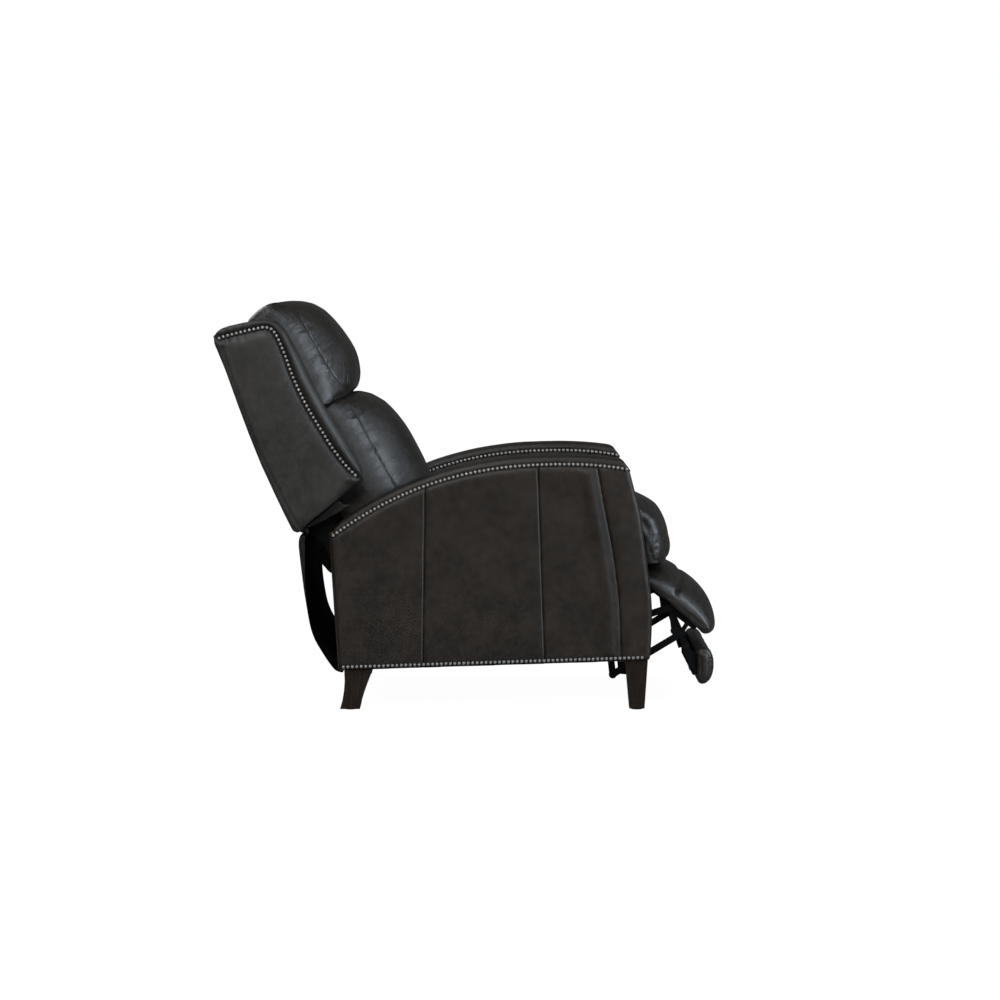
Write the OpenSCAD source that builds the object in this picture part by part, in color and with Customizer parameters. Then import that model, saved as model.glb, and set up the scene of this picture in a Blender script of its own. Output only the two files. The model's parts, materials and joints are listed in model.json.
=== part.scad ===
// Push-back recliner armchair: padded arms, winged back, seat on a parallel-arm carriage
// and a folding footrest. Millimetres. Front is -Y, up is +Z, the sitter's left is +X.
// Modelled part-reclined: the back leans back and the footrest is partly out.

/* [Overall] */
// Width over the nail heads of both arms
chair_w = 760; // [700:1:820]
// Width of each arm, from its inner to its outer leather face
arm_w = 103; // [90:1:115]
// Shift of the whole chair that centres its footprint on the origin
plan_shift = 9.13; // [0:0.01:30]

/* [Arms] */
// Height of the nail row at the highest part of the arm
arm_nail_z = 620; // [600:1:640]
// Fall of the nail row from its highest part to the rear of the arm
arm_fall = 178; // [150:1:200]
// Thickness of the leather-covered side panels
panel_t = 9; // [6:0.5:12]
// Thickness of the rolled pad on top of the arm
roll_t = 17; // [10:1:24]
// Thickness of the wooden rails and posts in the arm
rail_t = 32; // [24:1:40]
// Height of the arm's bottom edge above the floor, at the rear
arm_z_rear = 101; // [90:1:110]
// Height of the arm's bottom edge above the floor, at the front
arm_z_front = 126; // [115:1:135]

/* [Nails] */
// Radius of a nail head
nail_r = 5; // [4:0.1:5.4]
// Height of a nail head
nail_h = 3; // [2:0.1:4]
// Distance from nail to nail
nail_pitch = 11.2; // [11:0.1:16]

/* [Legs] */
// Width of a leg at its top
leg_w = 54; // [46:1:60]
// Width of a front leg at its foot
leg_foot = 38; // [30:1:44]
// Height of the glide under each leg
glide_h = 3; // [2:0.5:5]
// Radius of a leg bolt
bolt_r = 4; // [3:0.1:5]

/* [Back] */
// Lean of the back's rear face from the vertical, in degrees
back_tilt = 25.2; // [20:0.1:28]
// Length of the wing along the back
wing_l = 534; // [500:1:560]
// Thickness of a wing
wing_t = 50; // [40:1:60]
// How far each wing stands in from the arm's outer face
wing_inset = 27; // [17:1:36]
// Gap between each end of the headrest cushion and the wing beside it
headrest_gap = 13; // [8:1:20]
// Gap between each end of the lumbar cushion and the arm beside it
lumbar_gap = 8; // [5:1:14]
// Depth of the back's wooden rails
back_rail_d = 85; // [60:1:95]
// Thickness of the outside back panel
outback_t = 10; // [6:0.5:12]
// Forward reach of the headrest from the back's rear face
head_reach = 298; // [270:1:305]
// Forward reach of the lumbar cushion from the back's rear face
lumbar_reach = 340; // [310:1:345]

/* [Seat] */
// Gap between each side of the seat cushion and the arm beside it
cushion_gap = 6; // [4:1:14]
// Height of the cushion's crown at the front
seat_z = 532; // [515:1:540]
// Gap between each side of the seat frame and the steel plate beside it
frame_gap = 17; // [14:1:24]
// Height of the underside of the seat
seat_under_z = 356; // [354:1:364]
// Height of the top of the seat frame
seat_frame_top = 402; // [396:1:404]

/* [Footrest] */
// Gap between each end of the footrest pad and the arm beside it
pad_gap = 14; // [13:1:24]
// Thickness of the footrest pad at its crown
pad_t = 73; // [60:1:76]
// Length of the footrest board
board_l = 236; // [225:1:240]
// Thickness of the footrest board
board_t = 12; // [9:1:15]
// Slope of the footrest below the level, in degrees
foot_slope = 37; // [35:0.5:39]
// Gap between each end of the small lower pad and the bracket beside it
flip_gap = 0.5; // [0.5:0.5:12]

/* [Mechanism] */
// Thickness of the steel plates and links
steel_t = 4; // [3:0.5:4]
// Gap between steel layers
layer_gap = 0.5; // [0.3:0.1:0.6]
// Width of the footrest links
link_w = 20; // [17:1:22]
// Width of the arms that carry the seat
arm_link_w = 26; // [22:1:30]
// Radius of a footrest rivet
rivet_r = 5; // [4:0.1:5.5]
// Radius of the back's hinge pin
hinge_r = 8; // [6:0.1:9]
// Radial clearance of every running pivot
run_gap = 0.05; // [0.02:0.01:0.1]
// Height of the back hinge, and of the front carrier's upper pivot
hinge_z = 285; // [280:1:290]
// Length of the arms that carry the seat
carrier_l = 145; // [140:1:150]

/* [Hidden] */

$fn = 48;
touch = 0.3;              // clearance round soft solids
part_gap = 0.2;           // gap between separate pieces of one frame
leather = [0.13, 0.12, 0.12];
cloth = [0.05, 0.05, 0.05];
timber = [0.72, 0.58, 0.40];
dark_wood = [0.11, 0.07, 0.05];
steel = [0.06, 0.06, 0.065];
pewter = [0.62, 0.60, 0.57];

// Arm, in the side view
arm_out_x = chair_w / 2 - nail_h;
arm_in_x = arm_out_x - arm_w;
arm_rear_y = 309;
arm_rear_top_y = 330;
arm_front_y = -469;
arm_front_top_y = -416;
arm_peak_y = -265;
welt = 6.5;               // the roll starts this far above the nail centres, clear of the nails on the slope
roll_proud = 1;           // and stands this far out from the side panels
nail_edge = 9;            // nail centres lie this far inside the bottom edge

function arm_top(y) = y > arm_peak_y
    ? arm_nail_z - arm_fall * pow((y - arm_peak_y) / 590, 2.4)
    : arm_nail_z - 11 * pow((arm_peak_y - y) / 137, 2);
function arm_bottom(y) =
    arm_z_rear + (arm_z_front - arm_z_rear) * (arm_rear_y - y) / (arm_rear_y - arm_front_y);
// points along the arm's top, from front to rear, raised by dz; all pieces share one grid of steps
top_step = 42;
function steps(y0, y1) = concat([y0],
    [for (k = [-12:12]) let (y = k * top_step) if (y > y0 + 1 && y < y1 - 1) y], [y1]);
function top_line(y0, y1, dz) = [for (y = steps(y0, y1)) [y, arm_top(y) + dz]];
function flip(line) = [for (i = [len(line) - 1:-1:0]) line[i]];
// the seam between the side panel and the padded front, from the bottom up
seam_top_y = -335;
front_seam = [[-396, arm_bottom(-396)], [-394, 255], [-388, 355], [-373, 425], [-358, 481], [-346, 545]];
front_edge = [[-469, arm_bottom(-469)], [-474, 217], [-473, 275], [-458, 390], [-444, 492], [-430, 549]];

// Side view of the panel behind the front seam
module arm_side() {
    polygon(concat(
        front_seam,
        top_line(seam_top_y, arm_rear_top_y, welt),
        [[arm_rear_y, arm_bottom(arm_rear_y)]]));
}

// The back's own frame: z runs up its rear face, -y is forward from it
back_y = 405;
back_z = 446;
module back_place() { translate([0, back_y, back_z]) rotate([-back_tilt, 0, 0]) children(); }
function back_yz(n, e) = [
    back_y - n * cos(back_tilt) + e * sin(back_tilt),
    back_z + n * sin(back_tilt) + e * cos(back_tilt)];
wing_out_x = arm_out_x - wing_inset;
wing_in_x = wing_out_x - wing_t;
headrest_w = 2 * (wing_in_x - headrest_gap);
lumbar_w = 2 * (arm_in_x - lumbar_gap);
inner_back_x = arm_in_x - 7.5;    // half width of what passes between the arms

// Pivots in the side view
hinge = [283, hinge_z];
heel = [283, hinge_z - carrier_l];
carrier_top = [-330, hinge_z];
carrier_foot = [-330, hinge_z - carrier_l];
drive_top = [-344, 378];
drive_end = [-380, 76];
idler_top = [-262, 376];
idler_end = [-299, 174];
upper_end = [-529, 248];
lower_open = [-537, 188];    // the linkage's open pivot
foot_pivot = [-556, 182];
flip_pivot = [-566, 150];
open_slack = 1.2;         // extra radius of the eye at the open pivot
open_r = 4;               // radius of the stud at the open pivot
carrier_r = 6;            // radius of the pins that carry the seat
head_t = 1.6;             // thickness of a rivet head

// Steel layers, from the arm inwards; each value is the layer's outer face
rail_x = arm_in_x;
rail_plate = 3;
carrier_x = rail_x - rail_plate - layer_gap;
plate_x = carrier_x - steel_t - layer_gap;
drive_x = plate_x - steel_t - layer_gap;
lower_x = drive_x - steel_t - layer_gap;
upper_x = lower_x - steel_t - layer_gap;
front_x = upper_x - steel_t - layer_gap;
bracket_x = front_x - steel_t - layer_gap;
flip_x = bracket_x - steel_t - layer_gap;

// Widths of the parts that pass between the arms
cushion_w = 2 * (arm_in_x - cushion_gap);
seat_frame_w = 2 * (plate_x - steel_t - frame_gap);
pad_w = 2 * (arm_in_x - pad_gap);
flip_w = 2 * (bracket_x - flip_gap);

// Footrest frame: -y runs down the slope, z stands off the board's top
foot_y = -427.2;
foot_z = 341.6;
module foot_place() { translate([0, foot_y, foot_z]) rotate([foot_slope, 0, 0]) children(); }
function foot_yz(s, h) = [
    foot_y - s * cos(foot_slope) - h * sin(foot_slope),
    foot_z - s * sin(foot_slope) + h * cos(foot_slope)];

module place() { translate([0, plan_shift, 0]) children(); }
module hand(s) { if (s > 0) children(); else mirror([1, 0, 0]) children(); }
module pair() { children(); mirror([1, 0, 0]) children(); }
// Extrudes a side view, drawn as (y, z), from x0 to x1
module slab(x0, x1) { translate([x0, 0, 0]) rotate([90, 0, 90]) linear_extrude(x1 - x0) children(); }
module layer(x, t = steel_t) { slab(x - t, x) children(); }
// Extrudes a side view of the back, drawn as (forward, up), from x0 to x1
module back_slab(x0, x1) { back_place() slab(x0, x1) mirror([1, 0]) children(); }
// Extrudes a side view of the footrest, drawn as (down the slope, off the board)
module foot_slab(x0, x1) { foot_place() slab(x0, x1) mirror([1, 0]) children(); }

// A bar in the side view, with round ends that stand a little proud of its sides
eye_step = 1.2;
module bar(a, b, w) {
    d = b - a;
    translate(a) rotate(atan2(d.y, d.x)) translate([0, eye_step - w / 2]) square([norm(d), w - 2 * eye_step]);
    translate(a) circle(w / 2);
    translate(b) circle(w / 2);
}
module eye(p, r) { translate(p) circle(r); }
module pin(p, x0, x1, r) { translate([x0, p.x, p.y]) rotate([0, 90, 0]) cylinder(r = r, h = x1 - x0); }
// A rivet from layer x through the next one inwards, with a head
module rivet(p, x_from, x_to, r = rivet_r) {
    pin(p, x_to - layer_gap / 2, x_from, r);
    pin(p, x_to - layer_gap / 2 - head_t, x_to - layer_gap / 2, r + 3);
}

// ---------------------------------------------------------------- arms
post_w = 40;
slat_w = 40;
module arm_frame(s) {
    color(timber) place() hand(s) {
        x0 = arm_in_x + panel_t + part_gap;
        x1 = arm_out_x - panel_t - part_gap;
        top_gap = rail_t + part_gap;
        // front post, behind the padded front
        slab(x0, x1) intersection() {
            polygon(concat(
                [for (p = front_seam) p + [part_gap, 0]],
                flip([for (p = front_seam) p + [post_w, 0]])));
            translate([arm_front_y, arm_bottom(front_seam[0].x) + part_gap]) square(arm_nail_z);
        }
        // rear post, which closes the rear of the arm
        slab(x0, x1) polygon([
            [arm_rear_y - post_w, arm_bottom(arm_rear_y - post_w) + part_gap],
            [arm_rear_y, arm_bottom(arm_rear_y) + part_gap],
            [arm_rear_top_y - 1.5, arm_top(arm_rear_top_y) + welt - top_gap],
            [arm_rear_y - post_w, arm_top(arm_rear_top_y) + welt - top_gap]]);
        // curved top rail under the roll
        slab(x0, x1) polygon(concat(
            top_line(seam_top_y + 2, arm_rear_top_y, welt - part_gap),
            flip(top_line(seam_top_y + 2, arm_rear_top_y, welt - rail_t))));
        // bottom rail from the front post to the rear corner block
        rail_y0 = front_seam[0].x + post_w + part_gap;
        rail_y1 = block_rear_y0 - part_gap;
        slab(x0, x1) polygon([
            [rail_y0, arm_bottom(rail_y0)], [rail_y1, arm_bottom(rail_y1)],
            [rail_y1, arm_bottom(rail_y1) + rail_t], [rail_y0, arm_bottom(rail_y0) + rail_t]]);
        // middle slat
        slab(x0, x1) polygon([
            [-slat_w / 2, arm_bottom(-slat_w / 2) + rail_t + part_gap],
            [slat_w / 2, arm_bottom(slat_w / 2) + rail_t + part_gap],
            [slat_w / 2, arm_top(slat_w / 2) + welt - top_gap - 0.5],
            [-slat_w / 2, arm_top(-slat_w / 2) + welt - top_gap - 0.5]]);
    }
}

module arm_outer_panel(s) {
    color(leather) place() hand(s) slab(arm_out_x - panel_t, arm_out_x) arm_side();
}

module arm_inner_panel(s) {
    color(leather) place() hand(s) slab(arm_in_x, arm_in_x + panel_t) arm_side();
}

// Padded roll along the arm's top, a little proud of the side panels
module arm_top_roll(s) {
    color(leather) place() hand(s) difference() {
        slab(arm_in_x - roll_proud, arm_out_x + roll_proud) polygon(concat(
            top_line(arm_front_top_y, arm_rear_top_y, welt),
            flip([for (y = steps(arm_front_top_y, arm_rear_top_y))
                let (f = (y - arm_front_top_y) / (arm_rear_top_y - arm_front_top_y))
                [y, arm_top(y) + welt + roll_t * pow(sin(8 + 164 * f), 0.35)]])));
        for (x = [arm_in_x - roll_proud, arm_out_x + roll_proud])
            translate([x, 0, arm_nail_z + 2 * roll_t]) rotate([0, 45, 0])
                cube([roll_t - 1, 2 * arm_nail_z, roll_t - 1], center = true);
    }
}

// Padded front, from the curved seam round the arm's front edge
module arm_front_pad(s) {
    color(leather) place() hand(s) difference() {
        slab(arm_in_x, arm_out_x) polygon(concat(
            front_edge,
            top_line(arm_front_top_y, seam_top_y, welt - part_gap),
            flip([for (p = front_seam) p - [part_gap, 0]])));
        slab(arm_in_x + panel_t, arm_out_x - panel_t) translate([block_front_y0 - part_gap, 0])
            square([post_w * 2, arm_bottom(block_front_y0) + block_h + nut_room]);
    }
}

function slope_at(y) = (arm_top(y + 0.5) - arm_top(y - 0.5));
nail_line = [for (y = arm_rear_top_y - 6; y > arm_front_top_y + 4;
    y = y - nail_pitch / sqrt(1 + pow(slope_at(y), 2))) [y, arm_top(y)]];
bottom_nails = [for (y = arm_rear_y - 8; y > arm_front_y + 8; y = y - nail_pitch)
    [y, arm_bottom(y) + nail_edge]];

// Nail rows: along the top of both faces and along the bottom of the outer face
module arm_nails(s) {
    color(pewter) place() hand(s) {
        for (p = concat(nail_line, bottom_nails))
            pin(p, arm_out_x, arm_out_x + nail_h, nail_r);
        for (p = nail_line)
            if (p.x < 150) pin(p, arm_in_x - nail_h, arm_in_x, nail_r);
    }
}

// ---------------------------------------------------------------- base
cross_y = -92;
cross_t = 22;
cross_h = 62;
module cross_rail() {
    color(timber) place() translate([-arm_in_x, cross_y, arm_bottom(cross_y)]) cube([2 * arm_in_x, cross_t, cross_h]);
}

rear_rail_t = 21;
rear_rail_w = 62;
module rear_rail() {
    color(timber) place() translate([-arm_in_x, arm_rear_y - 1 - rear_rail_w, arm_z_rear])
        cube([2 * arm_in_x, rear_rail_w, rear_rail_t]);
}

// Corner blocks, between the panels at the arm's bottom, drilled for the leg bolts
block_h = 34;
nut_room = 14;
block_front_y0 = -460;
block_front_y1 = front_seam[0].x - part_gap;
block_rear_y0 = 222;
block_rear_y1 = arm_rear_y - post_w - part_gap;
front_bolt_y = -436;
rear_bolt_y = 252;
leg_inset = 6;
leg_x = arm_out_x - leg_w / 2 - leg_inset;
bolt_hole_r = bolt_r + part_gap;
module corner_block(y0, y1, bolt_y) {
    difference() {
        slab(arm_in_x + panel_t + part_gap, arm_out_x - panel_t - part_gap) polygon([
            [y0, arm_bottom(y0)], [y1, arm_bottom(y1)],
            [y1, arm_bottom(y0) + block_h], [y0, arm_bottom(y0) + block_h]]);
        translate([leg_x, bolt_y, 0]) cylinder(r = bolt_hole_r, h = 300);
    }
}
module corner_blocks() {
    color(timber) place() pair() {
        corner_block(block_front_y0, block_front_y1, front_bolt_y);
        corner_block(block_rear_y0, block_rear_y1, rear_bolt_y);
    }
}

bolt_depth = 30;
glide_r = 14;
nut_h = 6;
nut_rim = 3.5;
bolt_end = 10;
// Square tapered front leg, its top cut to the arm's slope
front_leg_y0 = -464;
front_leg_y1 = -408;
front_foot_y = -437.5;
module leg_front(s) {
    color(dark_wood) place() hand(s) difference() {
        hull() {
            slab(leg_x - leg_w / 2, leg_x + leg_w / 2) polygon([
                [front_leg_y0, arm_bottom(front_leg_y0)], [front_leg_y1, arm_bottom(front_leg_y1)],
                [front_leg_y1, arm_bottom(front_leg_y1) - 2], [front_leg_y0, arm_bottom(front_leg_y0) - 2]]);
            translate([leg_x - leg_foot / 2, front_foot_y - leg_foot / 2, glide_h])
                cube([leg_foot, leg_foot, 1]);
        }
        translate([leg_x, front_bolt_y, arm_bottom(front_bolt_y) - bolt_depth]) cylinder(r = bolt_hole_r, h = 80);
    }
}

// Sabre rear leg, swept to the rear at its foot
rear_foot_y = 285;
module leg_rear(s) {
    color(dark_wood) place() hand(s) difference() {
        slab(leg_x - leg_w / 2, leg_x + leg_w / 2) polygon([
            [229, arm_bottom(229)], [233, 88], [240, 70], [249, 45], [256, 22], [260, glide_h],
            [310, glide_h], [304, 24], [300, 48], [298, 74], [299, arm_bottom(299)]]);
        translate([leg_x, rear_bolt_y, arm_bottom(rear_bolt_y) - bolt_depth]) cylinder(r = bolt_hole_r, h = 80);
    }
}

// Hanger bolts with nuts on top of the corner blocks
module leg_bolt(y, y_block) {
    z0 = arm_bottom(y) - bolt_depth + 1;
    z1 = arm_bottom(y_block) + block_h;
    translate([leg_x, y, z0]) cylinder(r = bolt_r, h = z1 - z0 + bolt_end);
    translate([leg_x, y, z1]) cylinder(r = bolt_r + nut_rim, h = nut_h, $fn = 6);
}
module leg_bolts() {
    color(steel) place() pair() {
        leg_bolt(front_bolt_y, block_front_y0);
        leg_bolt(rear_bolt_y, block_rear_y0);
    }
}

module floor_glides() {
    color(steel) place() pair() for (y = [front_foot_y, rear_foot_y])
        translate([leg_x, y, 0]) cylinder(r = glide_r, h = glide_h);
}

// Steel rail on the arm's inner face, with the back's hinge pin and the carrier's pin
module side_rail(s) {
    color(steel) place() hand(s) {
        layer(rail_x, rail_plate) {
            bar(carrier_top, hinge, arm_link_w);
            eye(hinge, hinge_r + 10);
        }
        pin(hinge, carrier_x - steel_t, rail_x - 1, hinge_r);
        pin(carrier_top, carrier_x - steel_t, rail_x - 1, carrier_r);
    }
}

// Leather curtain from the base's rear edge up to the back's lower edge
flap_t = 4;
flap_w = 700;
flap_low_z = arm_z_rear - flap_t - part_gap;
flap_line = [[416, 398], [415, 378], [410, 327], [403, 277], [391, 226], [376, 180], [356, 145],
    [335, 114], [322, flap_low_z], [300, flap_low_z]];
function unit(v) = v / norm(v);
function side_of(line, i) = let (d = unit(line[min(i + 1, len(line) - 1)] - line[max(i - 1, 0)])) [-d.y, d.x];
module rear_flap() {
    color(leather) place() slab(-flap_w / 2, flap_w / 2) polygon(concat(
        flap_line,
        [for (i = [len(flap_line) - 1:-1:0]) flap_line[i] - flap_t * side_of(flap_line, i)]));
}

// Arm that hangs from the side rail and carries the front of the seat
module front_carrier(s) {
    color(steel) place() hand(s) {
        layer(carrier_x) difference() {
            bar(carrier_top, carrier_foot, arm_link_w);
            eye(carrier_top, carrier_r + run_gap);
        }
        pin(carrier_foot, plate_x - steel_t, carrier_x - 1, carrier_r);
    }
}

// ---------------------------------------------------------------- seat
plate_y0 = -386;
plate_y1 = 297;
plate_z0 = 362;
flange_t = 3;
flange_w = 46;
flange_y1 = 200;
module seat_plate(s) {
    color(steel) place() hand(s) {
        layer(plate_x) difference() {
            union() {
                translate([plate_y0, plate_z0]) square([plate_y1 - plate_y0, seat_frame_top - plate_z0 + flange_t]);
                bar(carrier_foot, [carrier_foot.x, plate_z0 + 14], arm_link_w);
                bar(heel, [heel.x, plate_z0 + 14], arm_link_w);
            }
            eye(carrier_foot, carrier_r + run_gap);
            eye(heel, carrier_r + run_gap);
        }
        translate([plate_x - flange_w, plate_y0, seat_frame_top]) cube([flange_w, flange_y1 - plate_y0, flange_t]);
        pin(drive_top, lower_x - 0.5, plate_x - 1, rivet_r);
        pin(idler_top, drive_x - steel_t, plate_x - 1, rivet_r + 3);
        pin(idler_top, upper_x + 0.2, plate_x - 1, rivet_r);
    }
}

seat_rail_h = 36;
seat_rail_w = 40;
front_rail_y = -500;
seat_side_y0 = -464.8;    // just behind the front rail
seat_side_y1 = 215;
seat_cross_y = -335;
front_rail_t = 35;
module seat_frame() {
    color(timber) place() {
        half = seat_frame_w / 2;
        rail_z = seat_frame_top - seat_rail_h;
        translate([-half, front_rail_y, seat_under_z]) cube([seat_frame_w, front_rail_t, seat_frame_top - seat_under_z]);
        pair() translate([half - seat_rail_w, seat_side_y0, rail_z])
            cube([seat_rail_w, seat_side_y1 - seat_side_y0, seat_rail_h]);
        for (y = [seat_cross_y, seat_side_y1 - seat_rail_w])
            translate([-half + seat_rail_w + part_gap, y, rail_z])
                cube([seat_frame_w - 2 * seat_rail_w - 2 * part_gap, seat_rail_w, seat_rail_h]);
    }
}

strap_w = 50;
strap_t = 2;
strap_pitch = 80;
strap_inset = 2;
module seat_webbing() {
    color(cloth) place() for (k = [-2:2])
        translate([k * strap_pitch - strap_w / 2, front_rail_y + strap_inset, seat_frame_top])
            cube([strap_w, seat_side_y1 - front_rail_y - 2 * strap_inset, strap_t]);
}

// Seat cushion: a rounded front that wraps the front rail, a raked top and a step under the lumbar
module seat_cushion() {
    base_z = seat_frame_top + flange_t + touch;
    color(leather) place() slab(-cushion_w / 2, cushion_w / 2) polygon([
        [front_rail_y - touch, base_z], [front_rail_y - touch, seat_under_z - 1],
        [-514, seat_under_z + 3], [-521, 381], [-525, 400], [-525, 418], [-522, 439], [-517, 455],
        [-510, 476], [-503, 492], [-493, 508], [-477, seat_z - 11], [-452, seat_z], [-400, seat_z + 2],
        [-300, seat_z - 6], [-200, seat_z - 18], [-100, seat_z - 31], [-40, seat_z - 42], [-24, 476],
        [-15, 456], [-13, 440], [205, 420], [205, base_z]]);
}

// ---------------------------------------------------------------- back
rail_n0 = outback_t + part_gap;
rail_n1 = rail_n0 + back_rail_d;
back_low_e = -60;
back_high_e = 530;
shoulder_e = 70;          // the back widens above this height, clear of the arms
back_rail_w = 28;
cross_piece_h = 40;
middle_rail_e = 245;
// A block in the back's frame: forward n0 to n1, up e0 to e1
module back_block(x0, x1, n0, n1, e0, e1) { translate([x0, -n1, e0]) cube([x1 - x0, n1 - n0, e1 - e0]); }
module back_frame() {
    side_x = carrier_x - steel_t;
    in_x = side_x - back_rail_w;
    color(timber) place() back_place() {
        pair() {
            back_block(in_x, side_x, rail_n0, rail_n1, back_low_e, back_high_e);
            back_block(side_x + part_gap, wing_in_x, rail_n0, rail_n1, shoulder_e, back_high_e);
        }
        for (e = [back_low_e, middle_rail_e, back_high_e - cross_piece_h])
            back_block(-in_x + part_gap, in_x - part_gap, rail_n0, rail_n1, e, e + cross_piece_h);
    }
}

// The padding bows the rear face of the wings and the outside back, most of all low down
rear_bow = [[-10, 2], [-20, 14], [-20, 120], [-15, 280], [-8, 360], [1, 450], [4, wing_l - 14]];
outback_rise = 10;        // the outside back stands this far above the wing's rear corner
module outside_back() {
    color(leather) place() back_slab(-wing_in_x + part_gap, wing_in_x - part_gap) polygon(concat(
        [[0, back_low_e], [0, 0]], rear_bow,
        [[4, wing_l + outback_rise], [outback_t, wing_l + outback_rise], [outback_t, back_low_e]]));
}

wing_line = concat(rear_bow, [[12, wing_l + 5], [22, wing_l + 12], [36, wing_l + 15], [56, wing_l + 13],
    [128, wing_l - 5], [158, wing_l - 19], [172, wing_l - 32], [182, wing_l - 60], [183, 415], [182, 340],
    [187, 250], [194, 190], [203, 115], [205, 86], [200, 66], [188, 56], [115, 36], [5, 8]]);
module wing(s) { color(leather) place() hand(s) back_slab(wing_in_x, wing_out_x) polygon(wing_line); }

// Nails run along the wing's top edge and down its front edge
wing_nail_line = [[22, wing_l - 4], [86, wing_l - 16], [141, wing_l - 31], [150, wing_l - 48], [150, 460],
    [146, 328], [151, 229], [158, 168], [171, 108], [185, 66]];
module wing_nails(s) {
    color(pewter) place() hand(s) back_place() for (i = [0:len(wing_nail_line) - 2]) {
        a = wing_nail_line[i];
        b = wing_nail_line[i + 1];
        n = round(norm(b - a) / nail_pitch);
        for (k = [0:n - 1]) let (p = a + (b - a) * k / n)
            pin([-p.x, p.y], wing_out_x, wing_out_x + nail_h, nail_r);
    }
}

module back_webbing() {
    color(cloth) place() back_place() for (e = [back_low_e + 10:strap_pitch:back_high_e - 100]) {
        half = e > shoulder_e ? wing_in_x - 8 : carrier_x - 2 * steel_t;
        back_block(-half, half, rail_n1, rail_n1 + strap_t, e, e + strap_w);
    }
}

soft_n0 = rail_n1 + strap_t + touch;
split_e = 262;            // the crease between headrest and lumbar cushion
module headrest_cushion() {
    r = head_reach;
    color(leather) place() back_slab(-headrest_w / 2, headrest_w / 2) polygon([
        [soft_n0, split_e + touch], [soft_n0, 541], [133, 557], [163, 561], [196, 552], [223, 539],
        [246, 521], [266, 493], [280, 455], [r - 8, 414], [r - 1, 371], [r, 337], [r - 9, 296],
        [r - 20, 278], [r - 36, split_e + touch]]);
}

module lumbar_cushion() {
    r = lumbar_reach;
    color(leather) place() back_slab(-lumbar_w / 2, lumbar_w / 2) polygon([
        [soft_n0, split_e], [r - 78, split_e], [r - 70, 255], [r - 50, 240], [r - 26, 205], [r - 13, 165],
        [r - 4, 122], [r - 2, 83], [r, 40], [r, -20], [r - 1, -80], [r - 10, -96], [150, -70],
        [soft_n0, -60]]);
}

// Plate that hinges the back to the side rail; its heel carries the rear of the seat
module back_hinge(s) {
    top = back_yz(52, 30);
    low = back_yz(52, -30);
    color(steel) place() hand(s) {
        layer(carrier_x) difference() {
            union() {
                bar(low, top, 62);
                bar(hinge, low, 44);
                bar(hinge, heel, arm_link_w);
                eye(hinge, 22);
            }
            eye(hinge, hinge_r + run_gap);
        }
        pin(heel, plate_x - steel_t, carrier_x - 1, carrier_r);
    }
}

// ---------------------------------------------------------------- footrest linkage
module drive_links() {
    color(steel) place() pair() {
        layer(drive_x) difference() {
            bar(drive_top, drive_end, link_w);
            eye(drive_top, rivet_r + run_gap);
        }
        rivet(drive_end, drive_x - 1, lower_x - steel_t);
    }
}

// Cross tube that makes the two drive links turn as one
tube_r = 8;
tube_along = 36;          // distance from the drive links' upper pivots
module drive_tube() {
    p = drive_top + tube_along * unit(drive_end - drive_top);
    color(steel) place() pin(p, -drive_x + steel_t, drive_x - steel_t, tube_r);
}

module idler_links() {
    color(steel) place() pair() {
        layer(lower_x) difference() {
            bar(idler_top, idler_end, link_w);
            eye(idler_top, rivet_r + run_gap);
        }
        rivet(idler_end, lower_x - 1, upper_x - steel_t);
    }
}

module upper_links() {
    color(steel) place() pair() {
        layer(upper_x) difference() {
            bar(idler_end, upper_end, link_w);
            eye(idler_end, rivet_r + run_gap);
        }
        pin(upper_end, front_x - steel_t, upper_x - 1, rivet_r);
    }
}

module lower_links() {
    color(steel) place() pair() {
        layer(lower_x) difference() {
            union() {
                bar(drive_end, foot_pivot, link_w);
                bar(lower_open, foot_pivot, link_w);
            }
            eye(drive_end, rivet_r + run_gap);
        }
        pin(lower_open, front_x - steel_t, lower_x - 1, open_r);
        pin(foot_pivot, bracket_x - steel_t, lower_x - 1, rivet_r);
    }
}

module front_links() {
    color(steel) place() pair() layer(front_x) difference() {
        bar(upper_end, lower_open, link_w - 3);
        eye(upper_end, rivet_r + run_gap);
        eye(lower_open, open_r + open_slack);
    }
}

// Brackets that carry the footrest board
module footrest_brackets() {
    color(steel) place() pair() {
        layer(bracket_x) difference() {
            union() {
                polygon([foot_yz(112, -board_t), foot_yz(222, -board_t),
                    foot_yz(222, -board_t - 14), foot_yz(112, -board_t - 14)]);
                bar(foot_pivot, foot_yz(196, -board_t - 7), 14);
                bar(foot_pivot, foot_yz(142, -board_t - 7), 14);
                bar(foot_pivot, flip_pivot, link_w);
            }
            eye(foot_pivot, rivet_r + run_gap);
        }
        pin(flip_pivot, flip_x - steel_t, bracket_x - 1, rivet_r);
    }
}

board_s0 = 26;
module footrest_board() {
    color(timber) place() foot_slab(-bracket_x, bracket_x)
        translate([board_s0, -board_t]) square([board_l - board_s0, board_t]);
}

// Footrest pad: two sewn sections and a rounded tip that wraps the board's end
pad_lift = 14;            // the underside's margins are rounded up clear of the links
module footrest_pad() {
    crown = [[28, pad_lift], [34, 26], [46, 38], [62, 51], [80, pad_t - 5], [105, pad_t - 1], [122, pad_t - 5],
        [132, pad_t - 3], [160, pad_t], [190, pad_t - 4], [220, pad_t - 13], [244, 45], [264, 28],
        [273, pad_lift]];
    color(leather) place() {
        foot_slab(-pad_w / 2, pad_w / 2) polygon(crown);
        foot_slab(-bracket_x, bracket_x) polygon([
            [28, pad_lift + 1], [28, touch], [board_l + touch, touch], [board_l + touch, touch - board_t],
            [250, touch - board_t], [267, -5], [273, 8], [272, pad_lift + 1]]);
    }
}

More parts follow.
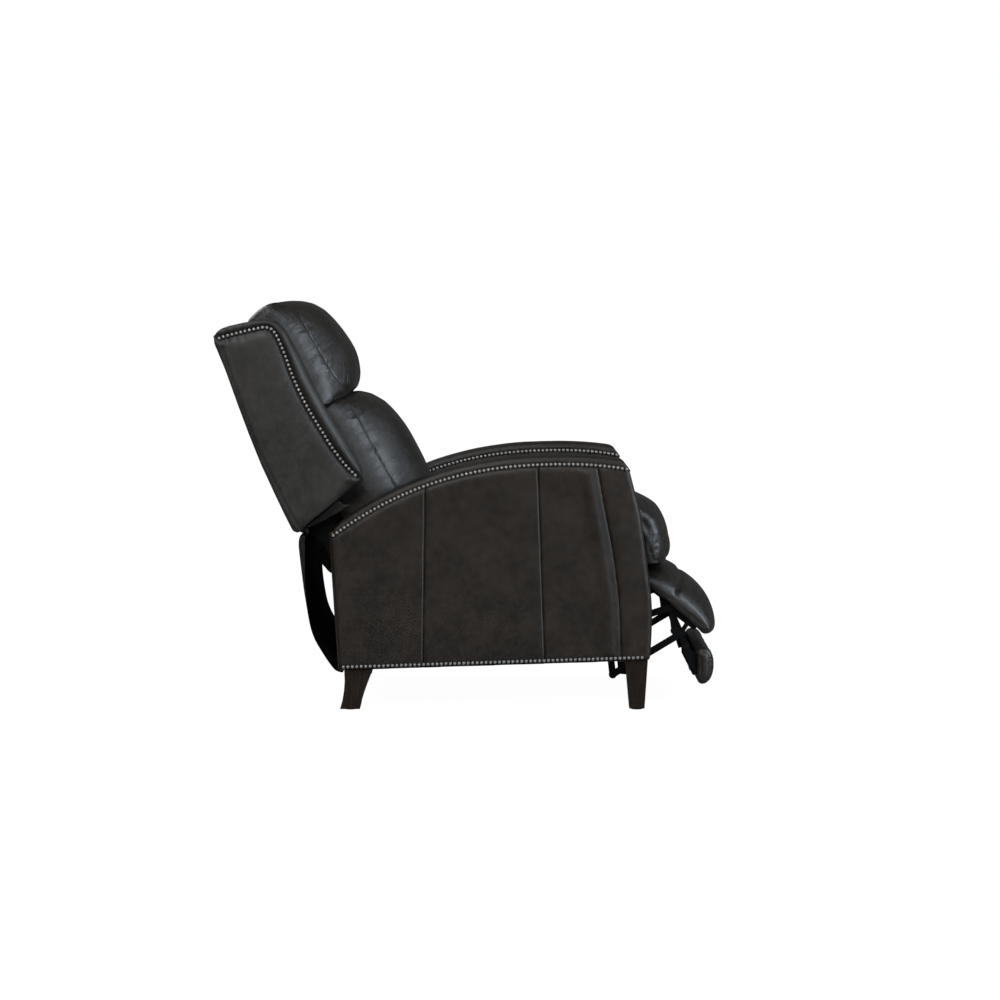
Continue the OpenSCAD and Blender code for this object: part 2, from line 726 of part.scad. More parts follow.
module flipper_brackets() {
    color(steel) place() pair() layer(flip_x) difference() {
        union() {
            eye(flip_pivot, 9);
            polygon([[-573, 156], [-558, 145], [-577, 84], [-585.1, 86], [-584.4, 126]]);
        }
        eye(flip_pivot, rivet_r + run_gap);
    }
}

module flipper_board() {
    color(timber) place() slab(-flip_x, flip_x) polygon([
        [-592.4, 131], [-584.4, 131], [-585.4, 72], [-593.2, 72]]);
}

module flipper_pad() {
    color(leather) place() slab(-flip_w / 2, flip_w / 2) polygon([
        [-592.7, 132], [-598, 139], [-606, 143], [-622, 142], [-631, 137], [-636, 124], [-639, 104],
        [-638, 86], [-634, 70], [-624, 56], [-612, 51], [-601, 54], [-593.5, 69]]);
}

// ---------------------------------------------------------------- output
arm_frame(1);  // arm_frame_left
arm_frame(-1);  // arm_frame_right
arm_outer_panel(1);  // arm_outer_panel_left
arm_outer_panel(-1);  // arm_outer_panel_right
arm_inner_panel(1);  // arm_inner_panel_left
arm_inner_panel(-1);  // arm_inner_panel_right
arm_top_roll(1);  // arm_top_roll_left
arm_top_roll(-1);  // arm_top_roll_right
arm_front_pad(1);  // arm_front_pad_left
arm_front_pad(-1);  // arm_front_pad_right
arm_nails(1);  // arm_nails_left
arm_nails(-1);  // arm_nails_right
cross_rail();
rear_rail();
corner_blocks();
leg_front(1);  // leg_front_left
leg_front(-1);  // leg_front_right
leg_rear(1);  // leg_rear_left
leg_rear(-1);  // leg_rear_right
leg_bolts();
floor_glides();
side_rail(1);  // side_rail_left
side_rail(-1);  // side_rail_right
rear_flap();
front_carrier(1);  // front_carrier_left
front_carrier(-1);  // front_carrier_right
seat_plate(1);  // seat_plate_left
seat_plate(-1);  // seat_plate_right
seat_frame();
seat_webbing();
seat_cushion();
back_frame();
outside_back();
wing(1);  // wing_left
wing(-1);  // wing_right
wing_nails(1);  // wing_nails_left
wing_nails(-1);  // wing_nails_right
back_webbing();
headrest_cushion();
lumbar_cushion();
back_hinge(1);  // back_hinge_left
back_hinge(-1);  // back_hinge_right
drive_links();
drive_tube();
idler_links();
upper_links();
lower_links();
front_links();
footrest_brackets();
footrest_board();
footrest_pad();
flipper_brackets();
flipper_board();
flipper_pad();
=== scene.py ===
# %% [markdown]
# # Dressing a push-back recliner in leather
# The chair's construction is already solved: timber frames, steel links, hinges and plain blocks where
# the upholstery sits. This script loads that construction as a fixed frame and makes what an upholsterer
# adds: puffed leather panels, rolled edges, filled cushions, stitching and rows of nails. Everything is in
# metres in the frame's own axes, so a piece goes exactly where the frame says.

# %% Load the frame
import json
import math

import bpy
import bmesh
import numpy as np
from mathutils import Matrix, Vector, noise


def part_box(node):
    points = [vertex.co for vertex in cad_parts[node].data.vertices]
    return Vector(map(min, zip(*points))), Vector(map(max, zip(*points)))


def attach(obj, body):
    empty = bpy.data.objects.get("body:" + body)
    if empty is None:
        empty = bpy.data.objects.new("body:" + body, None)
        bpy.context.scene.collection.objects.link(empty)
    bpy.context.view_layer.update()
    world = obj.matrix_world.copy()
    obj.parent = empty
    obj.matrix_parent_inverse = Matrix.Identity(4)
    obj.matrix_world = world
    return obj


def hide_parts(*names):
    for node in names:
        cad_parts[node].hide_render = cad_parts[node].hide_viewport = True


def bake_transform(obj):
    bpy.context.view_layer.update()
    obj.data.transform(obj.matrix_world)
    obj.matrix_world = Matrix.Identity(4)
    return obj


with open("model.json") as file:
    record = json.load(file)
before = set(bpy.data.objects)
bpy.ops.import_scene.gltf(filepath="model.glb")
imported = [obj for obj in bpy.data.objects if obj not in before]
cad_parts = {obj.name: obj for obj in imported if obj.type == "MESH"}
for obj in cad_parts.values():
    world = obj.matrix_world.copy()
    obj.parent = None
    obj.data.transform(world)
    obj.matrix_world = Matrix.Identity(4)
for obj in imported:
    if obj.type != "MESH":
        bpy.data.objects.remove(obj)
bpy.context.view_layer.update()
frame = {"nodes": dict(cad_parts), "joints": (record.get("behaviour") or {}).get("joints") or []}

# %% [markdown]
# ## Places
# The outlines are drawn in the side view, in millimetres, as a pattern maker would: y runs from the front
# to the rear and z from the floor up. The frame keeps its origin under the middle of the whole chair, so
# one shift, read from the back's hinge, carries the drawing into the frame. The back and the footrest
# lean, so each has a small frame of its own: how far forward of the back's rear face and how far up it,
# and how far down the footrest's slope and how far off its board.

# %% Side view, back and footrest coordinates
MM = 0.001
JOINTS = {joint["name"]: joint for joint in frame["joints"]}
HINGE_Y = 283
SHIFT = JOINTS["back_recline"]["pos_m"][1] / MM - HINGE_Y

ARM_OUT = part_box("arm_outer_panel_left")[1].x / MM
ARM_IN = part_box("arm_inner_panel_left")[0].x / MM
WING_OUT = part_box("wing_left")[1].x / MM
WING_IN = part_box("wing_left")[0].x / MM

BACK_TILT = math.radians(25.2)
BACK_FOOT = (405, 446)
FOOT_SLOPE = math.radians(37)
FOOT_TOP = (-427.2, 341.6)


def back_at(forward, up):
    """Side-view point of a place on the leaning back."""
    c, s = math.cos(BACK_TILT), math.sin(BACK_TILT)
    return (BACK_FOOT[0] - forward * c + up * s, BACK_FOOT[1] + forward * s + up * c)


def foot_at(along, off):
    """Side-view point of a place on the sloping footrest."""
    c, s = math.cos(FOOT_SLOPE), math.sin(FOOT_SLOPE)
    return (FOOT_TOP[0] - along * c - off * s, FOOT_TOP[1] - along * s + off * c)


def to_back(co):
    """The forward and up coordinates, on the leaning back, of many side-view points."""
    c, s = math.cos(BACK_TILT), math.sin(BACK_TILT)
    dy, dz = co[:, 1] - BACK_FOOT[0], co[:, 2] - BACK_FOOT[1]
    return -dy * c + dz * s, dy * s + dz * c


def to_foot(co):
    """The along and off coordinates, on the footrest, of many side-view points."""
    c, s = math.cos(FOOT_SLOPE), math.sin(FOOT_SLOPE)
    dy, dz = co[:, 1] - FOOT_TOP[0], co[:, 2] - FOOT_TOP[1]
    return -dy * c - dz * s, -dy * s + dz * c


def spot(x, y, z):
    """A drawing point in millimetres as a place in the frame, in metres."""
    return Vector((x * MM, (y + SHIFT) * MM, z * MM))


def bell(x, width):
    """1 where x is 0, falling away smoothly on both sides."""
    return np.exp(-(x / width) ** 2)


def fade(x, reach):
    """1 where x is 0, dying away as x grows."""
    return np.exp(-x / reach)


def ramp(x, low, high):
    """0 on the low side, 1 past the high side and straight between."""
    return np.clip((x - low) / (high - low), 0, 1)


print("drawing shift", round(SHIFT, 2), "mm; arm from", round(ARM_IN), "to", round(ARM_OUT), "mm")

# %% [markdown]
# ## Hand tools
# A few helpers stand for the moves that repeat. A side view is drawn as a filled ring of points and pulled
# out sideways with extrude. Upholstery has no sharp edges, so most pieces then get a voxel remesh, which
# gives an even net of small faces, and a little smoothing, which rounds the edges as padding does. After
# that a formula may move the net's points: that is how panels puff up, seams sink and leather gathers.

# %% Selecting, drawing and reading back points
def deselect():
    if bpy.context.object and bpy.context.object.mode != "OBJECT":
        bpy.ops.object.mode_set(mode="OBJECT")
    bpy.ops.object.select_all(action="DESELECT")


def activate(piece):
    deselect()
    piece.select_set(True)
    bpy.context.view_layer.objects.active = piece


def named(name):
    piece = bpy.context.object
    piece.name = name
    piece.data.name = name
    return piece


def apply_modifiers(piece):
    activate(piece)
    for modifier in list(piece.modifiers):
        bpy.ops.object.modifier_apply(modifier=modifier.name)


def read_points(piece):
    """Every point of a piece, in drawing millimetres."""
    co = np.zeros(len(piece.data.vertices) * 3)
    piece.data.vertices.foreach_get("co", co)
    return co.reshape(-1, 3) / MM - np.array([0, SHIFT, 0])


def write_points(piece, co):
    piece.data.vertices.foreach_set("co", ((co + np.array([0, SHIFT, 0])) * MM).ravel())
    piece.data.update()


def read_normals(piece):
    normals = np.zeros(len(piece.data.vertices) * 3)
    piece.data.vertices.foreach_get("normal", normals)
    return normals.reshape(-1, 3)


def outward(piece):
    """Makes every face of a closed piece look outwards."""
    activate(piece)
    bpy.ops.object.mode_set(mode="EDIT")
    bpy.ops.mesh.select_all(action="SELECT")
    bpy.ops.mesh.normals_make_consistent(inside=False)
    bpy.ops.object.mode_set(mode="OBJECT")


def slab(name, outline, x0, x1):
    """A side view, as a list of (y, z), pulled out sideways from x0 to x1."""
    deselect()
    bpy.ops.mesh.primitive_circle_add(vertices=len(outline), fill_type="NGON")
    piece = named(name)
    for corner, (y, z) in zip(piece.data.vertices, outline):
        corner.co = spot(x0, y, z)
    bpy.ops.object.mode_set(mode="EDIT")
    bpy.ops.mesh.select_all(action="SELECT")
    bpy.ops.mesh.extrude_region_move(TRANSFORM_OT_translate={"value": ((x1 - x0) * MM, 0, 0)})
    bpy.ops.object.mode_set(mode="OBJECT")
    outward(piece)
    return piece


def mirrored(piece, name):
    """The same piece for the other side of the chair."""
    activate(piece)
    bpy.ops.object.duplicate()
    twin = named(name)
    co = read_points(twin)
    co[:, 0] *= -1
    write_points(twin, co)
    bpy.ops.object.mode_set(mode="EDIT")
    bpy.ops.mesh.select_all(action="SELECT")
    bpy.ops.mesh.flip_normals()
    bpy.ops.object.mode_set(mode="OBJECT")
    return twin


def round_edges(piece, radius, test, segments):
    """Bevels the edges that run along the side view and whose two ends, as drawing points, pass the test."""
    co = read_points(piece)
    activate(piece)
    bpy.ops.object.mode_set(mode="EDIT")
    bpy.ops.mesh.select_all(action="DESELECT")
    bpy.ops.object.mode_set(mode="OBJECT")
    for edge in piece.data.edges:
        a, b = (co[i] for i in edge.vertices)
        edge.select = bool(abs(a[0] - b[0]) < 0.5 and test(a) and test(b))
    bpy.ops.object.mode_set(mode="EDIT")
    bpy.ops.mesh.select_mode(type="EDGE")
    bpy.ops.mesh.bevel(offset=radius * MM, segments=segments, affect="EDGES", clamp_overlap=True)
    bpy.ops.mesh.select_mode(type="VERT")
    bpy.ops.object.mode_set(mode="OBJECT")


def relaxed(piece, times):
    """Smooths the net a few times, as padding rounds what it covers."""
    relax = piece.modifiers.new("relax", "SMOOTH")
    relax.factor = 0.5
    relax.iterations = times
    apply_modifiers(piece)


def padded_net(piece, voxel, smoothing):
    """An even net of small faces over the piece, with its edges rounded as padding rounds them."""
    remesh = piece.modifiers.new("net", "REMESH")
    remesh.mode = "VOXEL"
    remesh.voxel_size = voxel * MM
    apply_modifiers(piece)
    relaxed(piece, smoothing)
    activate(piece)
    bpy.ops.object.shade_smooth()
    return piece


def to_line(points, line):
    """Distance from many points to a line of corners, and how far along it each lands."""
    best = np.full(len(points), 1e9)
    along = np.zeros(len(points))
    run = 0.0
    for a, b in zip(line[:-1], line[1:]):
        a, b = np.array(a, float), np.array(b, float)
        d = b - a
        length = np.linalg.norm(d)
        t = np.clip(((points - a) @ d) / length ** 2, 0, 1)
        gap = np.linalg.norm(points - a - t[:, None] * d, axis=1)
        closer = gap < best
        best = np.where(closer, gap, best)
        along = np.where(closer, run + t * length, along)
        run += length
    return best, along


def curve_through(corners, steps=6, closed=False):
    """A smooth curve through a few corners (Catmull-Rom), as a longer list of points."""
    corners = [np.array(p, float) for p in corners]
    count = len(corners)
    points = []
    for i in range(count if closed else count - 1):
        near = [(i + k) % count if closed else min(max(i + k, 0), count - 1) for k in (-1, 0, 1, 2)]
        a, b, c, d = (corners[k] for k in near)
        for k in range(steps):
            t = k / steps
            bend = (2 * a - 5 * b + 4 * c - d) * t ** 2
            points.append(0.5 * (2 * b + (c - a) * t + bend + (3 * b - a - 3 * c + d) * t ** 3))
    if not closed:
        points.append(corners[-1])
    return [tuple(p) for p in points]


def ripple(places, size, seed=0.0):
    """Smooth noise from -1 to 1 at many places; size is the width of its waves in millimetres."""
    return np.array([noise.noise(Vector(p) / size + Vector((seed, 3.1 * seed, 0))) for p in places])


LEFT_HAND = []


def mark(piece, name, amount):
    """Writes a number at each point of a piece, which the piece's finish reads by its name."""
    values = piece.data.attributes.new(name, "FLOAT", "POINT")
    values.data.foreach_set("value", np.asarray(amount, dtype=np.float32))


def dress(piece, body, slot, finish, *nodes, fill=None):
    """Gives a piece its finish, lets it ride on its body and hides the frame nodes it stands for.
    A left-hand piece is noted, so that its right-hand twin can be made at the end."""
    if piece.name.endswith("_left"):
        LEFT_HAND.append((piece, body, slot, finish, nodes))
    piece.data.materials.clear()
    piece.data.materials.append(finish)
    if body:
        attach(piece, body)
    if nodes:
        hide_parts(*nodes)
    return piece


# %% [markdown]
# ## Finishes
# Each finish is a node material on Object coordinates, so that the pattern stays on the piece when the
# chair moves. Sums on shader values are easier to read as sums, so a small class wraps a socket and turns
# plus, minus and times into Math nodes.

# %% Shader values and a finish builder
class Value:
    """A number that varies over a surface. Operators on it add Math nodes."""

    def __init__(self, finish, socket):
        self.finish = finish
        self.socket = socket

    def maths(self, operation, *others, clamp=False):
        settings = {"operation": operation, "use_clamp": clamp}
        return self.finish.node("ShaderNodeMath", settings, self, *others)["Value"]

    def __add__(self, other):
        return self.maths("ADD", other)

    def __mul__(self, other):
        return self.maths("MULTIPLY", other)

    def __sub__(self, other):
        return self.maths("SUBTRACT", other)

    def __rsub__(self, other):
        return (self * -1) + other

    __radd__ = __add__
    __rmul__ = __mul__

    def larger(self, *others):
        """The largest of this value and the others."""
        largest = self
        for other in others:
            largest = largest.maths("MAXIMUM", other)
        return largest

    def between(self, low, high):
        """0 below low, 1 above high and a straight ramp between."""
        return self.maths("MULTIPLY_ADD", 1 / (high - low), -low / (high - low), clamp=True)


class Finish:
    """One material, or the world, under construction. Its node method makes any node from its settings and
    inputs. A colour is three numbers, and feed adds the fourth that a colour socket wants."""

    def __init__(self, name, kind=bpy.data.materials, surface="Principled BSDF"):
        self.owner = kind.new(name)
        self.owner.use_nodes = True
        self.nodes = self.owner.node_tree.nodes
        self.links = self.owner.node_tree.links
        self.surface = self.nodes[surface]
        self.place = self.node("ShaderNodeTexCoord", {})["Object"]

    def node(self, kind, settings, *by_order, **by_name):
        made = self.nodes.new(kind)
        for key, value in settings.items():
            setattr(made, key, value)
        for index, value in enumerate(by_order):
            self.feed(made.inputs[index], value)
        for key, value in by_name.items():
            self.feed(made.inputs[key.replace("_", " ")], value)
        return {socket.name: Value(self, socket) for socket in made.outputs if socket.enabled}

    def feed(self, socket, value):
        if isinstance(value, Value):
            self.links.new(value.socket, socket)
        elif socket.type == "RGBA":
            socket.default_value = (*value, 1)
        else:
            socket.default_value = value

    def noise(self, size, detail=2.0, rough=0.5, place=None):
        """Soft blotches; size is their width in millimetres."""
        return self.node("ShaderNodeTexNoise", {}, Vector=place or self.place, Scale=1000 / size,
                         Detail=detail, Roughness=rough)["Fac"]

    def cells(self, size):
        """Distance to the edge of small cells, as in leather grain; size is their width in millimetres."""
        return self.node("ShaderNodeTexVoronoi", {"feature": "DISTANCE_TO_EDGE"}, Vector=self.place,
                         Scale=1000 / size)["Distance"]

    def stretched(self, x, y, z):
        """Object coordinates, scaled."""
        return self.node("ShaderNodeMapping", {}, Vector=self.place, Scale=(x, y, z))["Vector"]

    def blend(self, factor, low, high):
        """A colour between two others."""
        made = self.nodes.new("ShaderNodeMix")
        made.data_type = "RGBA"
        self.feed(made.inputs["Factor"], factor)
        self.feed(made.inputs[6], low)
        self.feed(made.inputs[7], high)
        return Value(self, made.outputs[2])

    def bump(self, height, depth, strength):
        """A normal from a height from 0 to 1; depth is in millimetres."""
        made = self.node("ShaderNodeBump", {}, Height=height, Distance=depth * MM, Strength=strength)
        return made["Normal"]

    def set(self, **values):
        """Feeds the surface's inputs and returns the finished material."""
        for key, value in values.items():
            self.feed(self.surface.inputs[key.replace("_", " ")], value)
        return self.owner


def shade(colour, share):
    """A darker or lighter shade of a colour."""
    return tuple(c * share for c in colour)


# %% [markdown]
# ### Leather
# Upholstery leather is dyed hide with a thin semi-gloss top coat. It isn't one flat colour: the dye is a
# little uneven over a hand's breadth, pores and creases are darker, and rubbed crowns are smoother. The
# grain is made from two sizes of Voronoi cells, whose edges are the fine creases between pebbles, and the
# softer folds come from noise. A thin coat gives the broad sheen on crowns.

# %% Leather finishes
def leather(name, dark, light, rough=0.36, coat=0.05, shine=0.24):
    """A number that the piece writes at each point is 1 along its nail lines: there the colour is darkened
    almost to black as painted shade of the nail valleys, and the leather is rougher with less coat.
    """
    finish = Finish(name)
    tacked = finish.node("ShaderNodeAttribute", {"attribute_name": "tacked"})["Fac"]
    mottle = finish.noise(95, 3.0, 0.55)
    cloud = finish.noise(22, 3.0, 0.6)
    pebble = finish.cells(1.9)
    crease = finish.cells(5.5).between(0.0, 0.09)
    fold = finish.noise(16, 4.0, 0.62, finish.stretched(1.0, 1.0, 0.7))
    tone = (mottle * 0.65 + cloud * 0.5).between(0.44, 0.72)
    pebble_tone = pebble.between(0.0, 0.16)
    colour = finish.blend(tone, dark, light)
    creased = finish.blend(pebble_tone * 0.35 + crease * 0.25 + 0.4, shade(dark, 0.62), colour)
    height = pebble_tone * 0.5 + crease * 0.3 + fold * 0.9
    # Painted shade: the base colour goes almost black along the nail lines.
    return finish.set(Base_Color=finish.blend(tacked * 0.9, creased, shade(dark, 0.12)),
                      Roughness=rough + 0.14 * cloud - 0.06 * pebble_tone + 0.4 * tacked,
                      Normal=finish.bump(height, 0.55, 0.6), Coat_Weight=coat - coat * tacked,
                      Coat_Roughness=0.3, IOR=1.5, Specular_IOR_Level=shine)


def lined_leather(name, dark, light, black):
    """Leather whose back is lined with black cloth. The piece's own lining attribute is 1 on that side."""
    finish = Finish(name)
    lining = finish.node("ShaderNodeAttribute", {"attribute_name": "lining"})["Fac"]
    tone = (finish.noise(95, 3.0, 0.55) * 0.7 + finish.noise(22, 3.0, 0.6) * 0.45).between(0.38, 0.78)
    pebble = finish.cells(1.9).between(0.0, 0.16)
    hide = finish.blend(pebble * 0.4 + 0.5, shade(dark, 0.62), finish.blend(tone, dark, light))
    return finish.set(Base_Color=finish.blend(lining, hide, black), Roughness=lining * 0.45 + 0.42,
                      Normal=finish.bump(pebble, 0.4, 0.5), Specular_IOR_Level=0.05)


def woven(name, colour, pitch=1.6, rough=0.85):
    """A plain woven cloth: two sets of threads, one along the chair and one slanting across it."""
    finish = Finish(name)
    threads = [finish.node("ShaderNodeTexWave", {"wave_type": "BANDS", "bands_direction": direction},
                           Vector=finish.place, Scale=1000 / pitch / 6.28, Distortion=0.3)["Fac"]
               for direction in ("X", "DIAGONAL")]
    weave = threads[0] * 0.5 + threads[1] * 0.5
    dust = finish.noise(30, 3.0)
    return finish.set(Base_Color=finish.blend(weave * 0.7 + dust * 0.3, shade(colour, 0.5), colour),
                      Roughness=rough + 0.1 * dust, Normal=finish.bump(weave, 0.3, 0.6),
                      Specular_IOR_Level=0.04)


LEATHER = leather("leather", (0.0064, 0.0044, 0.0029), (0.0160, 0.0112, 0.0078))
# A lighter, cooler copy of the same leather: painted light, standing for the broad sheen that the wings
# catch.
LEATHER_LIGHTER = leather("leather_painted_lighter", (0.0108, 0.0100, 0.0088), (0.0230, 0.0213, 0.0193))
LEATHER_CUSHION = leather("leather_cushion", (0.0072, 0.0060, 0.0048), (0.0165, 0.0140, 0.0118),
                          0.27, 0.06, 0.31)
BLACK_CLOTH = woven("black_cloth", (0.0025, 0.0025, 0.0025))
LINED_LEATHER = lined_leather("lined_leather", (0.0105, 0.0078, 0.0060), (0.0215, 0.0162, 0.0128),
                              (0.0012, 0.0012, 0.0012))
print("leather and cloth finishes made")

# %% [markdown]
# ### Wood, metal and the rest
# The legs are stained almost black, with grain that runs up the leg: noise squeezed across and stretched
# along it. Frame timber is raw softwood. The steel is powder coated black, slightly orange-peeled and
# rubbed at its edges. The nails are antiqued: bright metal under a dark wash. Their colour also follows the
# height of each head's own bump: bright at the crown, a painted highlight, and dark at the rim, painted
# shade.

# %% Wood, steel, nail and thread finishes
def wood(name, dark, light, rough):
    finish = Finish(name)
    grain = finish.noise(26, 5.0, 0.6, finish.stretched(9.0, 9.0, 0.7))
    pores = finish.noise(5, 2.0, 0.5, finish.stretched(4.5, 4.5, 0.35))
    streak = grain.between(0.32, 0.7)
    return finish.set(Base_Color=finish.blend(streak, dark, light), Roughness=rough + 0.15 * pores,
                      Normal=finish.bump(streak * 0.5 + pores * 0.5, 0.25, 0.5), Specular_IOR_Level=0.09)


def coated_steel(name, colour, rough=0.42):
    finish = Finish(name)
    peel = finish.noise(2.5, 2.0)
    scuff = finish.noise(30, 5.0, 0.7).between(0.56, 0.74)
    return finish.set(Base_Color=finish.blend(scuff, colour, shade(colour, 2.6)),
                      Roughness=rough + 0.16 * scuff, Metallic=0.12 * scuff,
                      Normal=finish.bump(peel, 0.12, 0.5), Specular_IOR_Level=0.07)


def antique_metal(name, dark, bright, crown_highlight=False):
    """Metal under a dark antique coat that leaves rubbed patches bright. On a dome that keeps its own map,
    only the crown stays bright, as a painted highlight, and the rim turns dark, as painted shade.
    """
    finish = Finish(name)
    rub_and_highlight = finish.noise(5, 4.0, 0.65).between(0.30, 0.66)
    if crown_highlight:
        height = finish.node("ShaderNodeSeparateXYZ", {}, finish.node("ShaderNodeTexCoord", {})["UV"])["Y"]
        # Painted highlight and painted shade: only the crown of each nail head keeps the bright metal, the
        # rim goes dark.
        rub_and_highlight = (rub_and_highlight * 0.5 + 0.5) * height.between(0.73, 0.97)
    return finish.set(Base_Color=finish.blend(rub_and_highlight, dark, bright), Metallic=0.92 * rub_and_highlight + 0.08,
                      Roughness=0.46 - 0.2 * rub_and_highlight, Normal=finish.bump(finish.noise(2.2, 2.0), 0.15, 0.5))


def plain(name, colour, rough, size=8):
    """A moulded or spun surface with only a faint unevenness."""
    finish = Finish(name)
    spots = finish.noise(size, 3.0)
    return finish.set(Base_Color=finish.blend(spots, shade(colour, 0.8), colour),
                      Roughness=rough + 0.1 * spots, Normal=finish.bump(spots, 0.1, 0.4))


DARK_WOOD = wood("dark_stained_wood", (0.0062, 0.0039, 0.0025), (0.0150, 0.0103, 0.0071), 0.42)
TIMBER = wood("frame_timber", (0.34, 0.23, 0.13), (0.52, 0.38, 0.23), 0.62)
STEEL = coated_steel("black_steel", (0.0028, 0.0028, 0.0030))
BRIGHT_STEEL = antique_metal("zinc_steel", (0.16, 0.16, 0.16), (0.46, 0.46, 0.46))
# The nail heads carry a painted highlight on the crown and painted shade at the rim.
NAIL_METAL = antique_metal("antique_nickel", (0.006, 0.005, 0.0045), (0.46, 0.44, 0.41), crown_highlight=True)
THREAD = plain("grey_thread", (0.085, 0.082, 0.078), 0.7, 2)
DARK_THREAD = plain("dark_thread", (0.012, 0.011, 0.011), 0.75, 2)
GLIDE = plain("glide_plastic", (0.02, 0.02, 0.02), 0.5)
print("wood, metal and thread finishes made")

# %% [markdown]
# ## The arm's outline
# Seen from the side, the arm's top is one long bow: highest a little behind the front, falling gently to
# the front corner and steeply to the rear. It is drawn as two power curves that meet at the peak. Three
# seams cross the side: two nearly upright ones, and a swept one that sets off the padded front.

# %% Arm curves and seams
ARM_PEAK_Y = -265
ARM_TOP_Z = 620
ARM_REAR_Y = 309
ARM_REAR_TOP_Y = 330
ARM_FRONT_Y = -469
ARM_FRONT_TOP_Y = -416


def arm_top(y):
    """Height of the nail row along the arm's top."""
    behind = np.maximum(np.asarray(y, float) - ARM_PEAK_Y, 0)
    ahead = np.maximum(ARM_PEAK_Y - np.asarray(y, float), 0)
    return ARM_TOP_Z - 178 * (behind / 590) ** 2.4 - 11 * (ahead / 137) ** 2


def arm_bottom(y):
    return 101 + 25 * (ARM_REAR_Y - np.asarray(y, float)) / (ARM_REAR_Y - ARM_FRONT_Y)


def upright(top_y, bottom_y, steps=8):
    """A nearly upright seam from the arm's top to its bottom."""
    top = (top_y, float(arm_top(top_y)))
    bottom = (bottom_y, float(arm_bottom(bottom_y)))
    return [tuple(np.array(top) + (np.array(bottom) - top) * k / steps) for k in range(steps + 1)]


def along_top(y0, y1, lift=0.0, steps=16):
    return [(y, float(arm_top(y)) + lift) for y in np.linspace(y0, y1, steps + 1)]


FRONT_SEAM = curve_through(
    [(-335, float(arm_top(-335))), (-345, 561), (-352.5, 518), (-360, 478), (-368, 438), (-376, 393),
     (-383, 342), (-389, 296), (-394, 225), (-396, float(arm_bottom(-396)))], 3)
FRONT_EDGE = curve_through(
    [(-416, float(arm_top(-416))), (-430, 549), (-444, 492), (-458, 390), (-472, 275), (-473, 200),
     (-469, float(arm_bottom(-469)))], 4)
MIDDLE_SEAM = upright(-187, -205)
REAR_SEAM = upright(95, 101)
REAR_EDGE = upright(ARM_REAR_TOP_Y, ARM_REAR_Y)
print("arm seams drawn:", len(FRONT_SEAM), "points on the swept one")

# %% [markdown]
# ## Arm panels
# On the real arm, each panel is a piece of hide sewn to the next and pulled over thin padding. It swells a
# few millimetres between its seams, the seams sink, and just under the nails the leather gathers in
# short fans where it was pulled tight. Each panel is therefore its own padded slab between two seams,
# so that the groove between panels is real. The swelling depends on the distance to the nearest edge.

# %% One padded side panel
PANEL_T = 9
NAIL_INSET = 9
SEAM_LAP = 1.5


def panel_outline(rear, front, rear_lap=SEAM_LAP, front_lap=SEAM_LAP):
    """The corners of a panel between two seams, each given from the top down. A lap is how far the panel
    runs under its neighbour, so that the seam is a crease and not a slit."""
    return (along_top(rear[0][0] + rear_lap, front[0][0] - front_lap)
            + [(y - front_lap, z) for y, z in front[1:]]
            + [(y + rear_lap, z) for y, z in reversed(rear[1:])])


def side_panel(name, rear, front, seed, swell=1.5, ridge=0.0, gather=2.1, rear_lap=SEAM_LAP):
    """ridge is the height of the soft roll that stands behind the panel's front seam."""
    outline = panel_outline(rear, front, rear_lap)
    piece = padded_net(slab(name, outline, ARM_OUT - PANEL_T, ARM_OUT), 4.2, 2)
    co = read_points(piece)
    edge, _ = to_line(co[:, 1:], outline + outline[:1])
    ahead, _ = to_line(co[:, 1:], front)
    outer = ramp(co[:, 0], ARM_OUT - PANEL_T / 2, ARM_OUT)
    under = np.maximum(arm_top(co[:, 1]) - co[:, 2], 0)
    puff = swell * (1 - fade(edge, 7)) + 4.6 * (1 - bell(under, 11)) * fade(under, 60)
    puff += ridge * bell(ahead - 27, 17) * (1 - bell(edge, 16))
    fans = np.sin(co[:, 1] * 0.33 + 2.2 * ripple(co * [0, 1, 0], 60, seed))
    patches = np.clip(0.35 + 0.9 * ripple(co * [0, 1, 0], 110, seed + 5), 0, 1)
    puff += gather * patches * fans * fade(under, 24) * (1 - fade(under, 7))
    slack = ripple(co * [0, 1, 0.8], 120, seed + 9) * 1.3 + ripple(co * [0, 1, 1], 45, seed + 11) * 0.5
    puff += slack * (1 - fade(edge, 30))
    co[:, 0] += outer * puff
    write_points(piece, co)
    low = co[:, 2] - arm_bottom(co[:, 1]) - NAIL_INSET
    # Painted shade along the top and bottom nail rows, which the leather's colour reads.
    mark(piece, "tacked", outer * np.maximum(bell(under, 6), bell(low, 6)))
    return piece


outer_panels = [
    side_panel("arm_panel_rear_left", REAR_EDGE, REAR_SEAM, 1.0, rear_lap=2.2),
    side_panel("arm_panel_middle_left", REAR_SEAM, MIDDLE_SEAM, 2.0),
    side_panel("arm_panel_front_left", MIDDLE_SEAM, FRONT_SEAM, 3.0, ridge=5.4, gather=1.2),
]
for panel in outer_panels:
    dress(panel, "base", "leather", LEATHER, "arm_outer_panel_left")
print("outer panels:", [len(p.data.polygons) for p in outer_panels], "faces")

# %% [markdown]
# The inner face is one quieter panel: it is the same padded slab, turned to face the seat. It has to stay
# clear of the cushion that slides past it, so it swells less than a millimetre.

